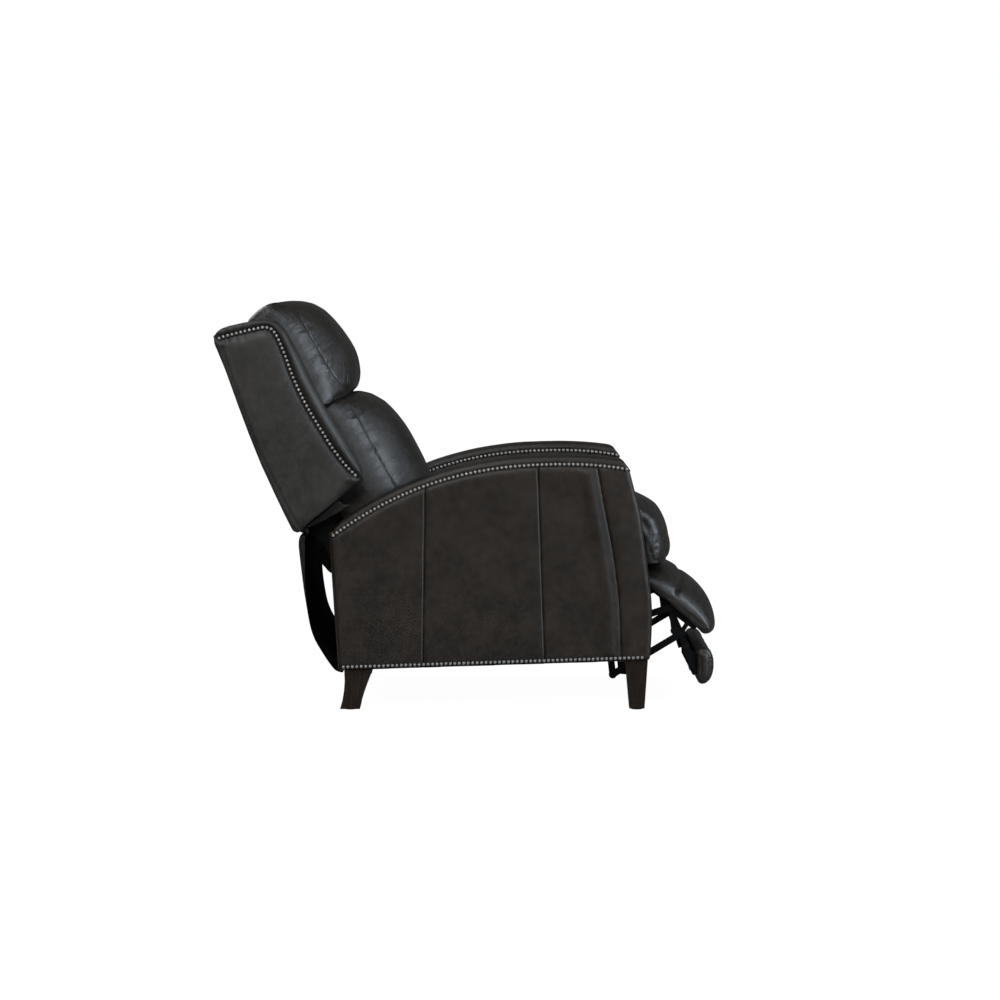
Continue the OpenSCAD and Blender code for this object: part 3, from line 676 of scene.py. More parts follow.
# %% Inner panel
def inner_panel(name):
    outline = panel_outline(REAR_EDGE, FRONT_SEAM, 0)
    piece = padded_net(slab(name, outline, ARM_IN, ARM_IN + PANEL_T), 6.0, 3)
    co = read_points(piece)
    edge, _ = to_line(co[:, 1:], outline + outline[:1])
    inner = ramp(co[:, 0], ARM_IN + PANEL_T / 2, ARM_IN)
    co[:, 0] += inner * (1 - fade(edge, 20)) * (0.5 + 0.5 * ripple(co * [0, 1, 1], 90, 4.0)) * -0.8
    write_points(piece, co)
    return dress(piece, "base", "leather", LEATHER, "arm_inner_panel_left")


print("inner panel:", len(inner_panel("arm_inner_cover_left").data.polygons), "faces")

# %% [markdown]
# ## Padded arm front
# The arm's front is a thicker pad that wraps round from the outer seam to the inner one. Its two long
# front corners are turned over a soft edge, so they are bevelled before the net is laid, and the pad
# swells most beside the swept seam.

# %% Padded front
def arm_front(name):
    outline = (along_top(ARM_FRONT_TOP_Y, FRONT_SEAM[0][0] + SEAM_LAP, 0.0, 6)
               + [(y + SEAM_LAP, z) for y, z in FRONT_SEAM[1:]] + list(reversed(FRONT_EDGE[1:])))
    piece = slab(name, outline, ARM_IN, ARM_OUT)
    round_edges(piece, 15, lambda p: p[1] < -405, 5)
    padded_net(piece, 4.6, 4)
    co = read_points(piece)
    edge, _ = to_line(co[:, 1:], outline + outline[:1])
    seam, _ = to_line(co[:, 1:], FRONT_SEAM)
    puff = (2.6 * (1 - fade(seam, 7)) * (1 - fade(edge, 9)) + 1.6 * bell(seam - 26, 16)
            + ripple(co * [0, 1, 1], 60, 6.0) * 0.6)
    co[:, 0] += ramp(co[:, 0], ARM_OUT - 12, ARM_OUT) * puff
    middle = ramp(abs(co[:, 0] - (ARM_IN + ARM_OUT) / 2), 46, 0)
    co[:, 1] -= 3.0 * ramp(co[:, 1], -400, -440) * middle
    write_points(piece, co)
    return dress(piece, "base", "leather", LEATHER, "arm_front_pad_left")


front_pad_left = arm_front("arm_front_cover_left")
print("padded front:", len(front_pad_left.data.polygons), "faces")

# %% [markdown]
# The arm's rear end is closed by a narrow strip of the same hide, folded round its two upright corners.

# %% Arm rear strip
def arm_rear(name):
    line = [(REAR_EDGE[0][0] + 0.5, REAR_EDGE[0][1] + 12)] + REAR_EDGE
    near = [(y + 0.4, z) for y, z in line]
    far = [(y + 5.6, z) for y, z in line]
    piece = slab(name, near + far[::-1], ARM_IN + 0.6, ARM_OUT + 0.6)
    round_edges(piece, 4, lambda p: p[1] - np.interp(p[2], [101, 443], [309, 330]) > 3, 4)
    padded_net(piece, 2.8, 2)
    return dress(piece, "base", "leather", LEATHER)


rear_strip_left = arm_rear("arm_rear_strip_left")
print("rear strip:", len(rear_strip_left.data.polygons), "faces")

# %% [markdown]
# ## Rolled arm top
# A strip of hide is laid over a roll of padding along the arm's top, folded down on both sides and held by
# the nails. It stands a little proud of the side panels and ends in a rounded nose at the front.

# %% Arm roll
ROLL_DROP = 6.5
ROLL_RISE = 21
ROLL_PROUD = 1.2


def arm_roll(name):
    y0, y1 = ARM_FRONT_TOP_Y - 4, ARM_REAR_TOP_Y + 5
    upper = []
    for k in range(37):
        share = k / 36
        y = y1 + (y0 - y1) * share
        nose = min(share * 24, (1 - share) * 34, 1.0)
        rise = (ROLL_RISE + ROLL_DROP * 0.4) * math.sqrt(nose * (2 - nose))
        upper.append((y, float(arm_top(y)) - ROLL_DROP * 0.4 + rise))
    outline = along_top(y0, y1, -ROLL_DROP, 30) + upper
    piece = slab(name, outline, ARM_IN - ROLL_PROUD, ARM_OUT + ROLL_PROUD)
    round_edges(piece, 11, lambda p: p[2] - arm_top(p[1]) > 8, 5)
    padded_net(piece, 4.4, 3)
    co = read_points(piece)
    side = (co[:, 0] - (ARM_IN + ARM_OUT) / 2) / ((ARM_OUT - ARM_IN) / 2)
    above = co[:, 2] - arm_top(co[:, 1])
    belt = bell(above - 9, 7)
    fans = np.sin(co[:, 1] * 0.4 + 2 * ripple(co * [0, 1, 0], 55, 8.0))
    fans *= np.clip(ripple(co, 120, 9.0) + 0.35, 0, 1)
    co[:, 0] += np.sign(side) * (abs(side) > 0.9) * (1.3 * belt + 0.55 * belt * fans)
    co[:, 2] += (above > 14) * (1 - side ** 2) * 1.5 + (above > 10) * ripple(co * [1, 1, 0], 90, 10.0) * 0.8
    write_points(piece, co)
    return dress(piece, "base", "leather", LEATHER, "arm_top_roll_left")


roll_left = arm_roll("arm_roll_left")
print("arm roll:", len(roll_left.data.polygons), "faces")

# %% [markdown]
# ## Nails
# Upholstery nails are stamped domes, about eleven millimetres across, driven so close that they almost
# touch. One dome is modelled with few faces, because hundreds of copies follow, and each row is a list of
# places with the direction that the nail faces. Hand-driven nails never sit exactly alike, so each copy
# is tipped by a degree or two with a fixed random seed.

# %% One nail and a row of them
NAIL_R = 5.35
NAIL_H = 3.3
NAIL_PITCH = 11.2
hand = np.random.default_rng(7)


def nail_pattern():
    deselect()
    bpy.ops.mesh.primitive_uv_sphere_add(segments=10, ring_count=8, radius=NAIL_R * MM)
    nail = named("nail_pattern")
    bpy.ops.object.mode_set(mode="EDIT")
    bpy.ops.mesh.select_all(action="SELECT")
    bpy.ops.mesh.bisect(plane_co=(0, 0, 0), plane_no=(0, 0, 1), clear_inner=True, use_fill=True)
    bpy.ops.mesh.select_all(action="SELECT")
    bpy.ops.transform.resize(value=(1, 1, NAIL_H / NAIL_R))
    bpy.ops.object.mode_set(mode="OBJECT")
    bpy.ops.object.shade_smooth_by_angle(angle=math.radians(50))
    return nail


def spaced(line, pitch, start=0.0):
    """Places a pitch apart along a line of corners."""
    places, wait = [], start
    for a, b in zip(line[:-1], line[1:]):
        a, b = np.array(a, float), np.array(b, float)
        length = np.linalg.norm(b - a)
        while wait <= length:
            places.append(tuple(a + (b - a) * wait / length))
            wait += pitch
        wait -= length
    return places


def many(name, pattern, turns):
    """One mesh that holds a copy of the pattern under each turn, a 4 x 4 matrix."""
    mesh = bmesh.new()
    for turn in turns:
        before = len(mesh.verts)
        mesh.from_mesh(pattern.data)
        mesh.verts.ensure_lookup_table()
        bmesh.ops.transform(mesh, matrix=turn, verts=mesh.verts[before:])
    data = bpy.data.meshes.new(name)
    mesh.to_mesh(data)
    mesh.free()
    made = bpy.data.objects.new(name, data)
    bpy.context.scene.collection.objects.link(made)
    for polygon in data.polygons:
        polygon.use_smooth = True
    return made


def nail_row(name, places, facing=(1, 0, 0)):
    """Nails at places (x, y, z), each with its dome turned to the facing and tipped a little."""
    aim = Vector(facing).to_track_quat("Z", "Y").to_matrix().to_4x4()
    turns = []
    for place in places:
        tip = Matrix.Rotation(hand.normal(0, 0.03), 4, "X") @ Matrix.Rotation(hand.normal(0, 0.03), 4, "Y")
        spin = Matrix.Rotation(hand.uniform(0, math.pi), 4, "Z")
        turns.append(Matrix.Translation(spot(*place)) @ aim @ tip @ spin)
    return many(name, NAIL, turns)


NAIL = nail_pattern()
print("a nail has", len(NAIL.data.polygons), "faces")

# %% Arm nails
top_row = spaced(along_top(ARM_REAR_TOP_Y - 5, ARM_FRONT_TOP_Y + 1, 0.0, 60), NAIL_PITCH)
bottom_line = [(y, float(arm_bottom(y)) + NAIL_INSET) for y in (ARM_REAR_Y - 8, ARM_FRONT_Y + 9)]
bottom_row = spaced(bottom_line, NAIL_PITCH)
inner_row = [(y, z) for y, z in top_row if y < 150]
arm_nails = [
    nail_row("arm_nails_outer_left", [(ARM_OUT + ROLL_PROUD - 0.4, y, z) for y, z in top_row]),
    nail_row("arm_nails_lower_left", [(ARM_OUT + 0.6, y, z) for y, z in bottom_row]),
    nail_row("arm_nails_inner_left", [(ARM_IN - ROLL_PROUD + 1.4, y, z) for y, z in inner_row], (-1, 0, 0)),
]
for row in arm_nails:
    dress(row, "base", "nail_metal", NAIL_METAL, "arm_nails_left")
print("nails on one arm:", len(top_row), "on top,", len(bottom_row), "below,", len(inner_row), "inside")

# %% [markdown]
# ## Topstitching
# Beside each upright seam runs a line of thread, which catches the light. Every stitch is a small bowed
# capsule, laid just above the panel's surface; the row follows the seam at a fixed distance.

# %% Stitch rows
STITCH_LENGTH = 4.6
STITCH_R = 0.66
END_WIDTH = 0.45


def stitch_pattern():
    deselect()
    bpy.ops.mesh.primitive_cylinder_add(vertices=6, radius=STITCH_R * MM, depth=STITCH_LENGTH * MM,
                                        rotation=(math.pi / 2, 0, 0))
    stitch = named("stitch_pattern")
    bpy.ops.object.transform_apply(rotation=True)
    bpy.ops.object.mode_set(mode="EDIT")
    bpy.ops.mesh.select_all(action="SELECT")
    bpy.ops.mesh.bisect(plane_co=(0, 0, 0), plane_no=(0, 1, 0))
    bpy.ops.object.mode_set(mode="OBJECT")
    for corner in stitch.data.vertices:
        bow = 1 - (abs(corner.co.y) / (STITCH_LENGTH * MM / 2)) ** 2
        corner.co.z += bow * STITCH_R * MM
        corner.co.x *= END_WIDTH + (1 - END_WIDTH) * bow
    return stitch


STITCH = stitch_pattern()


def stitches_along(name, points, normals, body, finish):
    """Stitches at 3-D drawing points, each turned along the row and standing on the normal."""
    turns = []
    for before, point, after, normal in zip(points, points[1:], points[2:], normals[1:]):
        forward = (Vector(after) - Vector(before)).normalized()
        up = Vector(normal).normalized()
        side = forward.cross(up).normalized()
        turn = Matrix((side, forward, side.cross(forward))).transposed().to_4x4()
        turns.append(Matrix.Translation(spot(*point)) @ turn)
    return dress(many(name, STITCH, turns), body, "leather", finish)


def on_surface(piece, points, toward, lift=0.2):
    """Drops 3-D drawing points onto a piece along a direction; returns the places and normals found."""
    bpy.context.view_layer.update()
    direction = Vector(toward).normalized()
    places, normals = [], []
    for point in points:
        start = spot(*point) - direction * 0.06
        hit, place, normal, _ = piece.ray_cast(start, direction, distance=0.12)
        if hit:
            if normal.dot(direction) > 0:
                normal = -normal
            place = place + normal * lift * MM
            places.append((place.x / MM, place.y / MM - SHIFT, place.z / MM))
            normals.append(tuple(normal))
    return places, normals


def seam_stitches(name, piece, seam):
    row = [(ARM_OUT + 10, y + 4.0, z) for y, z in spaced(seam, 6.2, 8)]
    row = [p for p in row if arm_bottom(p[1]) + 16 < p[2] < arm_top(p[1]) - 9]
    places, normals = on_surface(piece, row, (-1, 0, 0))
    stitches_along(name, places, normals, "base", THREAD)
    print(name, "has", len(places) - 2, "stitches")


seam_stitches("stitches_rear_seam_left", outer_panels[0], REAR_SEAM)
seam_stitches("stitches_middle_seam_left", outer_panels[1], MIDDLE_SEAM)

# %% [markdown]
# ## Rolled edges
# Where hide is folded over a padded board, the corner is a smooth quarter round. The helper below bends
# the net at a slab's edge onto such a round: a point that lies outside the circle that fits the corner is
# pulled in to it. The radius may change along the outline, so one piece can have a fat front edge and a
# tight rear one.

# %% Rounding one edge of a netted slab
def nearest_on(points, outline):
    """For each 2-D point: its distance to a closed outline, and the unit direction from there inwards."""
    ring = [np.array(p, float) for p in outline] + [np.array(outline[0], float)]
    area = sum(a[0] * b[1] - b[0] * a[1] for a, b in zip(ring[:-1], ring[1:]))
    best = np.full(len(points), 1e9)
    inward = np.zeros((len(points), 2))
    for a, b in zip(ring[:-1], ring[1:]):
        d = b - a
        length = np.linalg.norm(d)
        if length < 1e-6:
            continue
        t = np.clip(((points - a) @ d) / length ** 2, 0, 1)
        to = points - a - t[:, None] * d
        gap = np.linalg.norm(to, axis=1)
        normal = np.array([-d[1], d[0]]) / length * (1 if area > 0 else -1)
        direction = np.where((gap > 1.0)[:, None], to / np.maximum(gap, 1e-6)[:, None], normal)
        direction = np.where(((direction @ normal) < 0)[:, None], -direction, direction)
        closer = gap < best
        best = np.where(closer, gap, best)
        inward = np.where(closer[:, None], direction, inward)
    return best, inward


def roll_edges(piece, outline, radius, *faces):
    """Rounds the corners between an outline's wall and the flat faces at each x in faces. The radius is a
    number or a function of the net's points."""
    for face in faces:
        co = read_points(piece)
        side = np.sign(face - co[:, 0].mean())
        depth = (face - co[:, 0]) * side
        gap, inward = nearest_on(co[:, 1:], outline)
        r = np.maximum(radius(co) if callable(radius) else np.full(len(co), float(radius)), 0.1)
        v = np.stack([np.clip(r - gap, 0, None), np.clip(r - depth, 0, None)], axis=1)
        size = np.linalg.norm(v, axis=1)
        both = (v[:, 0] > 0) & (v[:, 1] > 0)
        pull = np.where(both & (size > r), r / np.maximum(size, 1e-6), 1.0)
        new_gap = np.where(both, r - v[:, 0] * pull, gap)
        new_depth = np.where(both, r - v[:, 1] * pull, depth)
        co[:, 1:] += inward * (new_gap - gap)[:, None]
        co[:, 0] = face - side * new_depth
        write_points(piece, co)


# %% [markdown]
# ## Wings
# Each side of the back carries a wing: a padded board, covered in one hide that is pulled over a fat roll
# at the front edge and nailed in a line just behind it. The nails sink into the padding, so the line is a
# valley between the roll and the flat panel. A welt runs down the rear corner. The outline bows out at
# the rear, where the padding is deepest low down.

# %% Wing outline and lines
WING_L = 534
WING_REAR = [(-10, 2), (-20, 14), (-21, 60), (-21, 120), (-20, 200), (-15, 280), (-8, 360), (1, 450),
             (5, WING_L - 10)]
WING_TOP = [(12, WING_L + 5), (22, WING_L + 12), (36, WING_L + 15), (56, WING_L + 13), (92, WING_L + 5),
            (128, WING_L - 5), (158, WING_L - 19), (172, WING_L - 33)]
WING_FRONT = [(181, WING_L - 60), (184, 415), (183, 340), (188, 250), (194, 190), (203, 115), (205, 86),
              (200, 66), (188, 56)]
WING_FOOT = [(115, 36), (35, 17), (5, 8)]
WING_LINE = WING_REAR + WING_TOP + WING_FRONT + WING_FOOT
WING_NAIL_LINE = curve_through(
    [(22, 529), (46, 526), (86, 518), (117, 511), (138, 505), (150, 494), (154, 480), (155, 462), (153, 418),
     (149, 383), (147, 345), (147, 290), (151, 243), (155, 206), (159, 168), (165, 137), (171, 110),
     (178, 88), (185, 68)], 3)
WING_WELT = [(24, 528), (12, 465), (0, 346), (-9, 238), (-8, 156), (-6, 60), (0, 12)]


def in_side_view(line):
    return [back_at(n, e) for n, e in line]


print("wing outline has", len(WING_LINE), "corners")

# %% Wings
def wing(name):
    outline = in_side_view(WING_LINE)
    piece = padded_net(slab(name, outline, WING_IN, WING_OUT), 4.4, 3)

    def corner_radius(co):
        n, e = to_back(co)
        return 7 + 14 * ramp(n, 100, 140) * ramp(e, WING_L - 10, WING_L - 40) + 3 * ramp(e, 490, 520)

    roll_edges(piece, outline, corner_radius, WING_OUT, WING_IN)
    relaxed(piece, 2)
    co = read_points(piece)
    n, e = to_back(co)
    flat = np.stack([n, e], axis=1)
    nails, along = to_line(flat, WING_NAIL_LINE)
    welt, _ = to_line(flat, WING_WELT)
    edge, _ = nearest_on(flat, WING_LINE)
    middle = (WING_IN + WING_OUT) / 2
    outer = ramp(co[:, 0], middle, middle + 18)
    valley = -7.6 * bell(nails, np.where(edge < 22, 7.5, 11.5))
    roll = 3.9 * bell(nails - 15, 10) * (edge < 24)
    panel = 6.0 * (1 - fade(edge, 30)) * (1 - fade(nails, 24)) - 1.5
    run = along[:, None] * [1, 0, 0]
    patches = np.clip(0.45 + 0.9 * ripple(run, 70, 21.0), 0, 1)
    gathers = 1.3 * patches * np.sin(along * 0.28 + 2 * ripple(run, 50, 22.0))
    behind = (n < 145) | (e > 500)
    fans = gathers * bell(nails - 12, 9) * behind
    groove = -2.0 * bell(welt, 2.6) + 0.9 * bell(welt - 6, 3.5)
    slack = 1.2 * ripple(co * [0, 1, 0.7], 130, 23.0) * ramp(edge, 0, 60)
    co[:, 0] += outer * (valley + roll + panel + fans + groove + slack)
    write_points(piece, co)
    # Painted shade along the wing's nail line, which the leather's colour reads.
    mark(piece, "tacked", outer * bell(nails, 6))
    # The wing wears the lighter copy of the leather, whose extra lightness is painted light.
    return dress(piece, "back", "leather", LEATHER_LIGHTER, "wing_left")


wing_left = wing("wing_cover_left")
print("wing:", len(wing_left.data.polygons), "faces")

# %% Wing nails
wing_row = [(WING_OUT - 4.8, *back_at(n, e)) for n, e in spaced(WING_NAIL_LINE, NAIL_PITCH)]
dress(nail_row("wing_nail_heads_left", wing_row), "back", "nail_metal", NAIL_METAL, "wing_nails_left")
print("nails on one wing:", len(wing_row))

# %% [markdown]
# Below the wing, the hide of the back's side is turned in over the frame and tacked there.

# %% Turned-in hide below the wing
def turned_in(name):
    corners = [(4, 6), (35, 14), (75, 24), (113, 34), (121, 20), (138, 9), (100, 4), (60, 2), (20, 2)]
    piece = padded_net(slab(name, in_side_view(corners), WING_IN + 0.4, WING_IN + 4), 2.4, 2)
    # The turned-in hide also wears the lighter copy of the leather, which is painted light.
    return dress(piece, "back", "leather", LEATHER_LIGHTER)


turned_in("turned_in_hide_left")
print("hide turned in below the wings")

# %% [markdown]
# ## Dark gussets under the back
# A gusset of black cloth hangs at each side below the back's frame, so that nobody looks into the
# mechanism from the side. It is tacked along its top and a little slack lower down.

# %% Gussets below the back frame
GUSSET = [(6, -18), (2, -55), (-2, -75), (0, -90), (6, -109), (13, -128), (32, -137), (52, -126), (56, -90),
          (56, -18)]


def gusset(name):
    piece = padded_net(slab(name, in_side_view(curve_through(GUSSET, 3, True)), 250, 256), 2.6, 2)
    co = read_points(piece)
    _, e = to_back(co)
    co[:, 0] += ramp(e, -60, -100) * 2.2 * ripple(co * [0, 1, 0.4], 34, 91.0)
    write_points(piece, co)
    return dress(piece, "back", "webbing", BLACK_CLOTH)


gusset("back_gusset_left")
print("gussets hung")

# %% [markdown]
# ## Outside back
# Behind the frame, one hide is stretched over light padding from wing to wing. It is sewn down at the
# sides and has one upright seam in its middle, where two skins were joined.

# %% Outside back
def outside_back(name):
    half = WING_IN - 0.6
    line = [(0, -14), (0, -2)] + WING_REAR + [(5, WING_L + 9), (12, WING_L + 9), (12, -14)]
    piece = padded_net(slab(name, in_side_view(line), -half, half), 5.5, 3)
    co = read_points(piece)
    n, e = to_back(co)
    edge = np.minimum.reduce([half - abs(co[:, 0]), e + 14, WING_L + 9 - e])
    rear = ramp(n, 6, 0)
    puff = 5.0 * (1 - fade(np.clip(edge, 0, None), 28)) * (1 - fade(abs(co[:, 0]), 9))
    puff += 1.6 * ripple(co * [1, 0, 0.6], 150, 31.0) + 0.5 * ripple(co * [1, 0, 1], 50, 32.0)
    c, s = math.cos(BACK_TILT), math.sin(BACK_TILT)
    co[:, 1] += rear * puff * c * (edge > 0)
    co[:, 2] -= rear * puff * s * (edge > 0)
    write_points(piece, co)
    return dress(piece, "back", "leather", LEATHER, "outside_back")


outside_back("outside_back_cover")


def back_top(name):
    """The hide that closes the top of the back, from the outside back to the headrest."""
    line = [(11, 512), (11, 535), (22, 539.5), (40, 541), (66, 538), (110, 530), (110, 512)]
    piece = padded_net(slab(name, in_side_view(line), 0.6 - WING_IN, WING_IN - 0.6), 5.5, 3)
    return dress(piece, "back", "leather", LEATHER)


back_top("back_top_strip")
print("outside back and its top made")

# %% [markdown]
# ## Head and lumbar cushions
# The back is filled with two bolsters. Seen from the side, each is a fat rounded profile. Across the
# chair, the front stays full in the middle and falls back at both ends to an end panel, which is sewn on
# with a seam and wrinkles beside it. The profile is pulled out, netted and bent back at its ends by a
# formula. Then air pressure in a cloth simulation swells it as stuffing does, with the parts that lie on
# the frame pinned.

# %% Inflating a netted piece
STEPS = 20
STUFFING = {"quality": 4, "use_pressure": True, "uniform_pressure_force": 4.0, "tension_stiffness": 18.0,
            "compression_stiffness": 18.0, "shear_stiffness": 18.0 * 0.4, "bending_stiffness": 0.6,
            "vertex_group_mass": "pinned"}


def inflate(piece, pinned, cap):
    """Swells a piece like a stuffed cover. pinned is a weight per point; cap is in millimetres."""
    start = read_points(piece)
    group = piece.vertex_groups.new(name="pinned")
    for index in np.nonzero(pinned > 0.02)[0]:
        group.add([int(index)], float(min(pinned[index], 1.0)), "REPLACE")
    cloth = piece.modifiers.new("stuffing", "CLOTH")
    for setting, value in STUFFING.items():
        setattr(cloth.settings, setting, value)
    cloth.settings.effector_weights.gravity = 0.0
    cloth.point_cache.frame_start = 1
    cloth.point_cache.frame_end = STEPS
    for step in range(1, STEPS + 1):
        bpy.context.scene.frame_set(step)
    apply_modifiers(piece)
    bpy.context.scene.frame_set(1)
    moved = read_points(piece) - start
    size = np.linalg.norm(moved, axis=1)
    moved *= (np.minimum(size, cap) / np.maximum(size, 1e-9))[:, None]
    write_points(piece, start + moved)
    piece.vertex_groups.clear()
    print(piece.name, "swelled by up to", round(float(np.minimum(size, cap).max()), 1), "mm")


def finer(piece):
    """One subdivision, which rounds the net."""
    smooth = piece.modifiers.new("finer", "SUBSURF")
    smooth.levels = 1
    smooth.render_levels = 1
    apply_modifiers(piece)


# %% [markdown]
# ### Full in the middle, falling back at the ends
# Cut through a bolster level with the floor and you see a flat-topped dome: full in the middle, rounding
# steadily to the ends. A superellipse says that with one power. Points of the net that lie outside it
# are drawn in towards its middle, and the formula only needs to know how deep the bolster is at each
# height.

# %% Shaping a bolster
def domed(x, deep, full, half, base, front, power):
    """Draws points in to a superellipse: x across and deep forwards, with its level part from -full to
    full, its ends at half, and its depth from base to front."""
    v0 = np.clip((abs(x) - full) / (half - full), 0, None)
    v1 = np.clip((deep - base) / np.maximum(front - base, 4), 0, None)
    size = (v0 ** power + v1 ** power) ** (1 / power)
    pull = np.where(size > 1, 1 / np.maximum(size, 1e-6), 1.0)
    inside = (v0 > 0) & (v1 > 0)
    new_x = np.sign(x) * np.where(inside, full + v0 * pull * (half - full), abs(x))
    new_deep = np.where(inside, base + v1 * pull * np.maximum(front - base, 4), deep)
    return new_x, new_deep


def front_at(heights, front):
    """Depth of a profile's front at many heights; front is its (depth, height) points, top first."""
    line = np.array(front)[::-1]
    return np.interp(heights, line[:, 1], line[:, 0])


def move_back(piece, co, n, e, new_x, new_n, new_e):
    """Writes points back from the leaning back's own coordinates."""
    c, s = math.cos(BACK_TILT), math.sin(BACK_TILT)
    co[:, 0] = new_x
    co[:, 1] += -(new_n - n) * c + (new_e - e) * s
    co[:, 2] += (new_n - n) * s + (new_e - e) * c
    write_points(piece, co)


def bolster(name, profile, front, half, full, base, power, top_round, voxel=6.0):
    outline = in_side_view(profile)
    piece = padded_net(slab(name, outline, -half, half), voxel, 3)

    def end_round(co):
        n, e = to_back(co)
        return 3 + (top_round - 3) * np.clip(np.maximum((n - HEAD_REAR_N - 10) / 40, (e - 505) / 25), 0, 1)

    roll_edges(piece, outline, end_round, half, -half)
    co = read_points(piece)
    n, e = to_back(co)
    new_x, new_n = domed(co[:, 0], n, full, half, base, front_at(e, front), power)
    move_back(piece, co, n, e, new_x, new_n, e)
    relaxed(piece, 4)
    return piece


def creased(piece, seams, depth, width, wrinkle, reach, seed):
    """Sinks a groove along each seam, which is a line of 3-D drawing points, and gathers the leather beside
    it in short wrinkles that run away from the seam."""
    co = read_points(piece)
    normals = read_normals(piece)
    push = np.zeros(len(co))
    for line in seams:
        best, along = to_line(co, line)
        near = best < 4 * reach
        where = np.stack([along / 8.0, best / 22.0, np.zeros(len(co))], axis=1)[near]
        folds = np.array([noise.noise(Vector(p) + Vector((seed, 0, seed))) for p in where])
        soft = np.array([noise.noise(Vector(p) * 0.4 + Vector((0, seed, 1))) for p in where])
        gather = fade(best[near], reach) * (1 - fade(best[near], 3))
        push[near] += wrinkle * (folds * (0.5 + soft) + 1.1 * soft) * gather * 1.6
        push -= depth * bell(best, width)
    write_points(piece, co + normals * push[:, None])


def thread_along(name, piece, line, toward):
    """A row of dark stitches along a line of 3-D drawing points, dropped onto a cushion of the back."""
    direction = np.array(toward, float) / np.linalg.norm(toward)
    above = [tuple(np.array(p) - direction * 40) for p in spaced(line, 6.0, 3.0)]
    places, normals = on_surface(piece, above, toward, 0.3)
    stitches_along(name, places, normals, "back", DARK_THREAD)


# %% Headrest
HEAD_HALF = 285
CREASE_E = 262
HEAD_REAR_N = 98
HEAD_FRONT = [(196, 548), (223, 535), (246, 517), (265, 490), (278, 454), (287, 413), (292, 371), (293, 337),
              (286, 297), (275, 279), (261, 264)]
HEAD_PROFILE = ([(HEAD_REAR_N, 541), (133, 553), (163, 557)] + HEAD_FRONT
                + [(240, CREASE_E + 1), (HEAD_REAR_N, CREASE_E + 1)])
HEAD_BASE, HEAD_FULL = 160, 120
HEAD_SEAM = [(219, 523), (221, 488), (226, 426), (233, 350), (240, 304), (250, 270)]


def end_seam(seam, front, half, full, base, power, side):
    """Where a seam drawn on the side view lies on the domed end: 3-D drawing points."""
    line = []
    for n, e in curve_through(seam, 4):
        reach = float(front_at(np.array([e]), front)[0])
        share = min(max((n - base) / (reach - base), 0), 1)
        x = full + (half - full) * (1 - share ** power) ** (1 / power)
        y, z = back_at(n, e)
        line.append((side * x, y, z))
    return line


head = bolster("headrest_cover", HEAD_PROFILE, HEAD_FRONT, HEAD_HALF, HEAD_FULL, HEAD_BASE, 1.62, 20)
head_n, head_e = to_back(read_points(head))
inflate(head, ramp(head_n, 150, 130), 5.0)
head_seams = [end_seam(HEAD_SEAM, HEAD_FRONT, HEAD_HALF, HEAD_FULL, HEAD_BASE, 1.62, side)
              for side in (1, -1)]
finer(head)
creased(head, head_seams, 1.7, 2.8, 2.0, 26, 81.0)
dress(head, "back", "leather", LEATHER_CUSHION, "headrest_cushion", fill=0.8)
print("headrest:", len(head.data.polygons), "faces")

# %% Lumbar cushion
LUMBAR_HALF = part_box("lumbar_cushion")[1].x / MM - 1
LUMBAR_FRONT = [(261, CREASE_E - 1), (269, 254), (287, 239), (309, 204), (322, 165), (331, 122), (333, 83),
                (335, 40), (335, -20), (334, -79), (325, -94)]
LUMBAR_PROFILE = [(HEAD_REAR_N, CREASE_E - 1)] + LUMBAR_FRONT + [(150, -70), (HEAD_REAR_N, -60)]
LUMBAR_BASE, LUMBAR_FULL = 175, 100
LUMBAR_SEAM = [(238, 238), (245, 198), (246, 146), (248, 99), (252, 49), (256, 0), (262, -85)]
lumbar = bolster("lumbar_cover", LUMBAR_PROFILE, LUMBAR_FRONT, LUMBAR_HALF, LUMBAR_FULL, LUMBAR_BASE, 1.62,
                 16, 6.15)
lumbar_n, lumbar_e = to_back(read_points(lumbar))
inflate(lumbar, ramp(lumbar_n, 165, 145) + ramp(lumbar_e, -40, -60), 4.0)
lumbar_seams = [end_seam(LUMBAR_SEAM, LUMBAR_FRONT, LUMBAR_HALF, LUMBAR_FULL, LUMBAR_BASE, 1.62, side)
                for side in (1, -1)]
finer(lumbar)
creased(lumbar, lumbar_seams, 1.7, 2.8, 1.6, 26, 83.0)
dress(lumbar, "back", "leather", LEATHER_CUSHION, "lumbar_cushion", fill=0.8)
print("lumbar cushion:", len(lumbar.data.polygons), "faces")

# %% Threads along the end seams
for cushion, seams, label in ((head, head_seams, "headrest"), (lumbar, lumbar_seams, "lumbar")):
    for line, side in zip(seams, ("left", "right")):
        sign = 1 if side == "left" else -1
        thread_along(f"{label}_thread_{side}_end", cushion, line, (-sign, 0.7, -0.3))
print("end seams sewn")

# %% [markdown]
# ## Seat
# The seat is one thick cushion whose leather wraps down over the front rail as a bullnose. Its corners
# are rounded over by the filling, and a welt runs along the bottom of the front. Like the back
# cushions it is a profile pulled out, netted, and then swelled by air pressure.

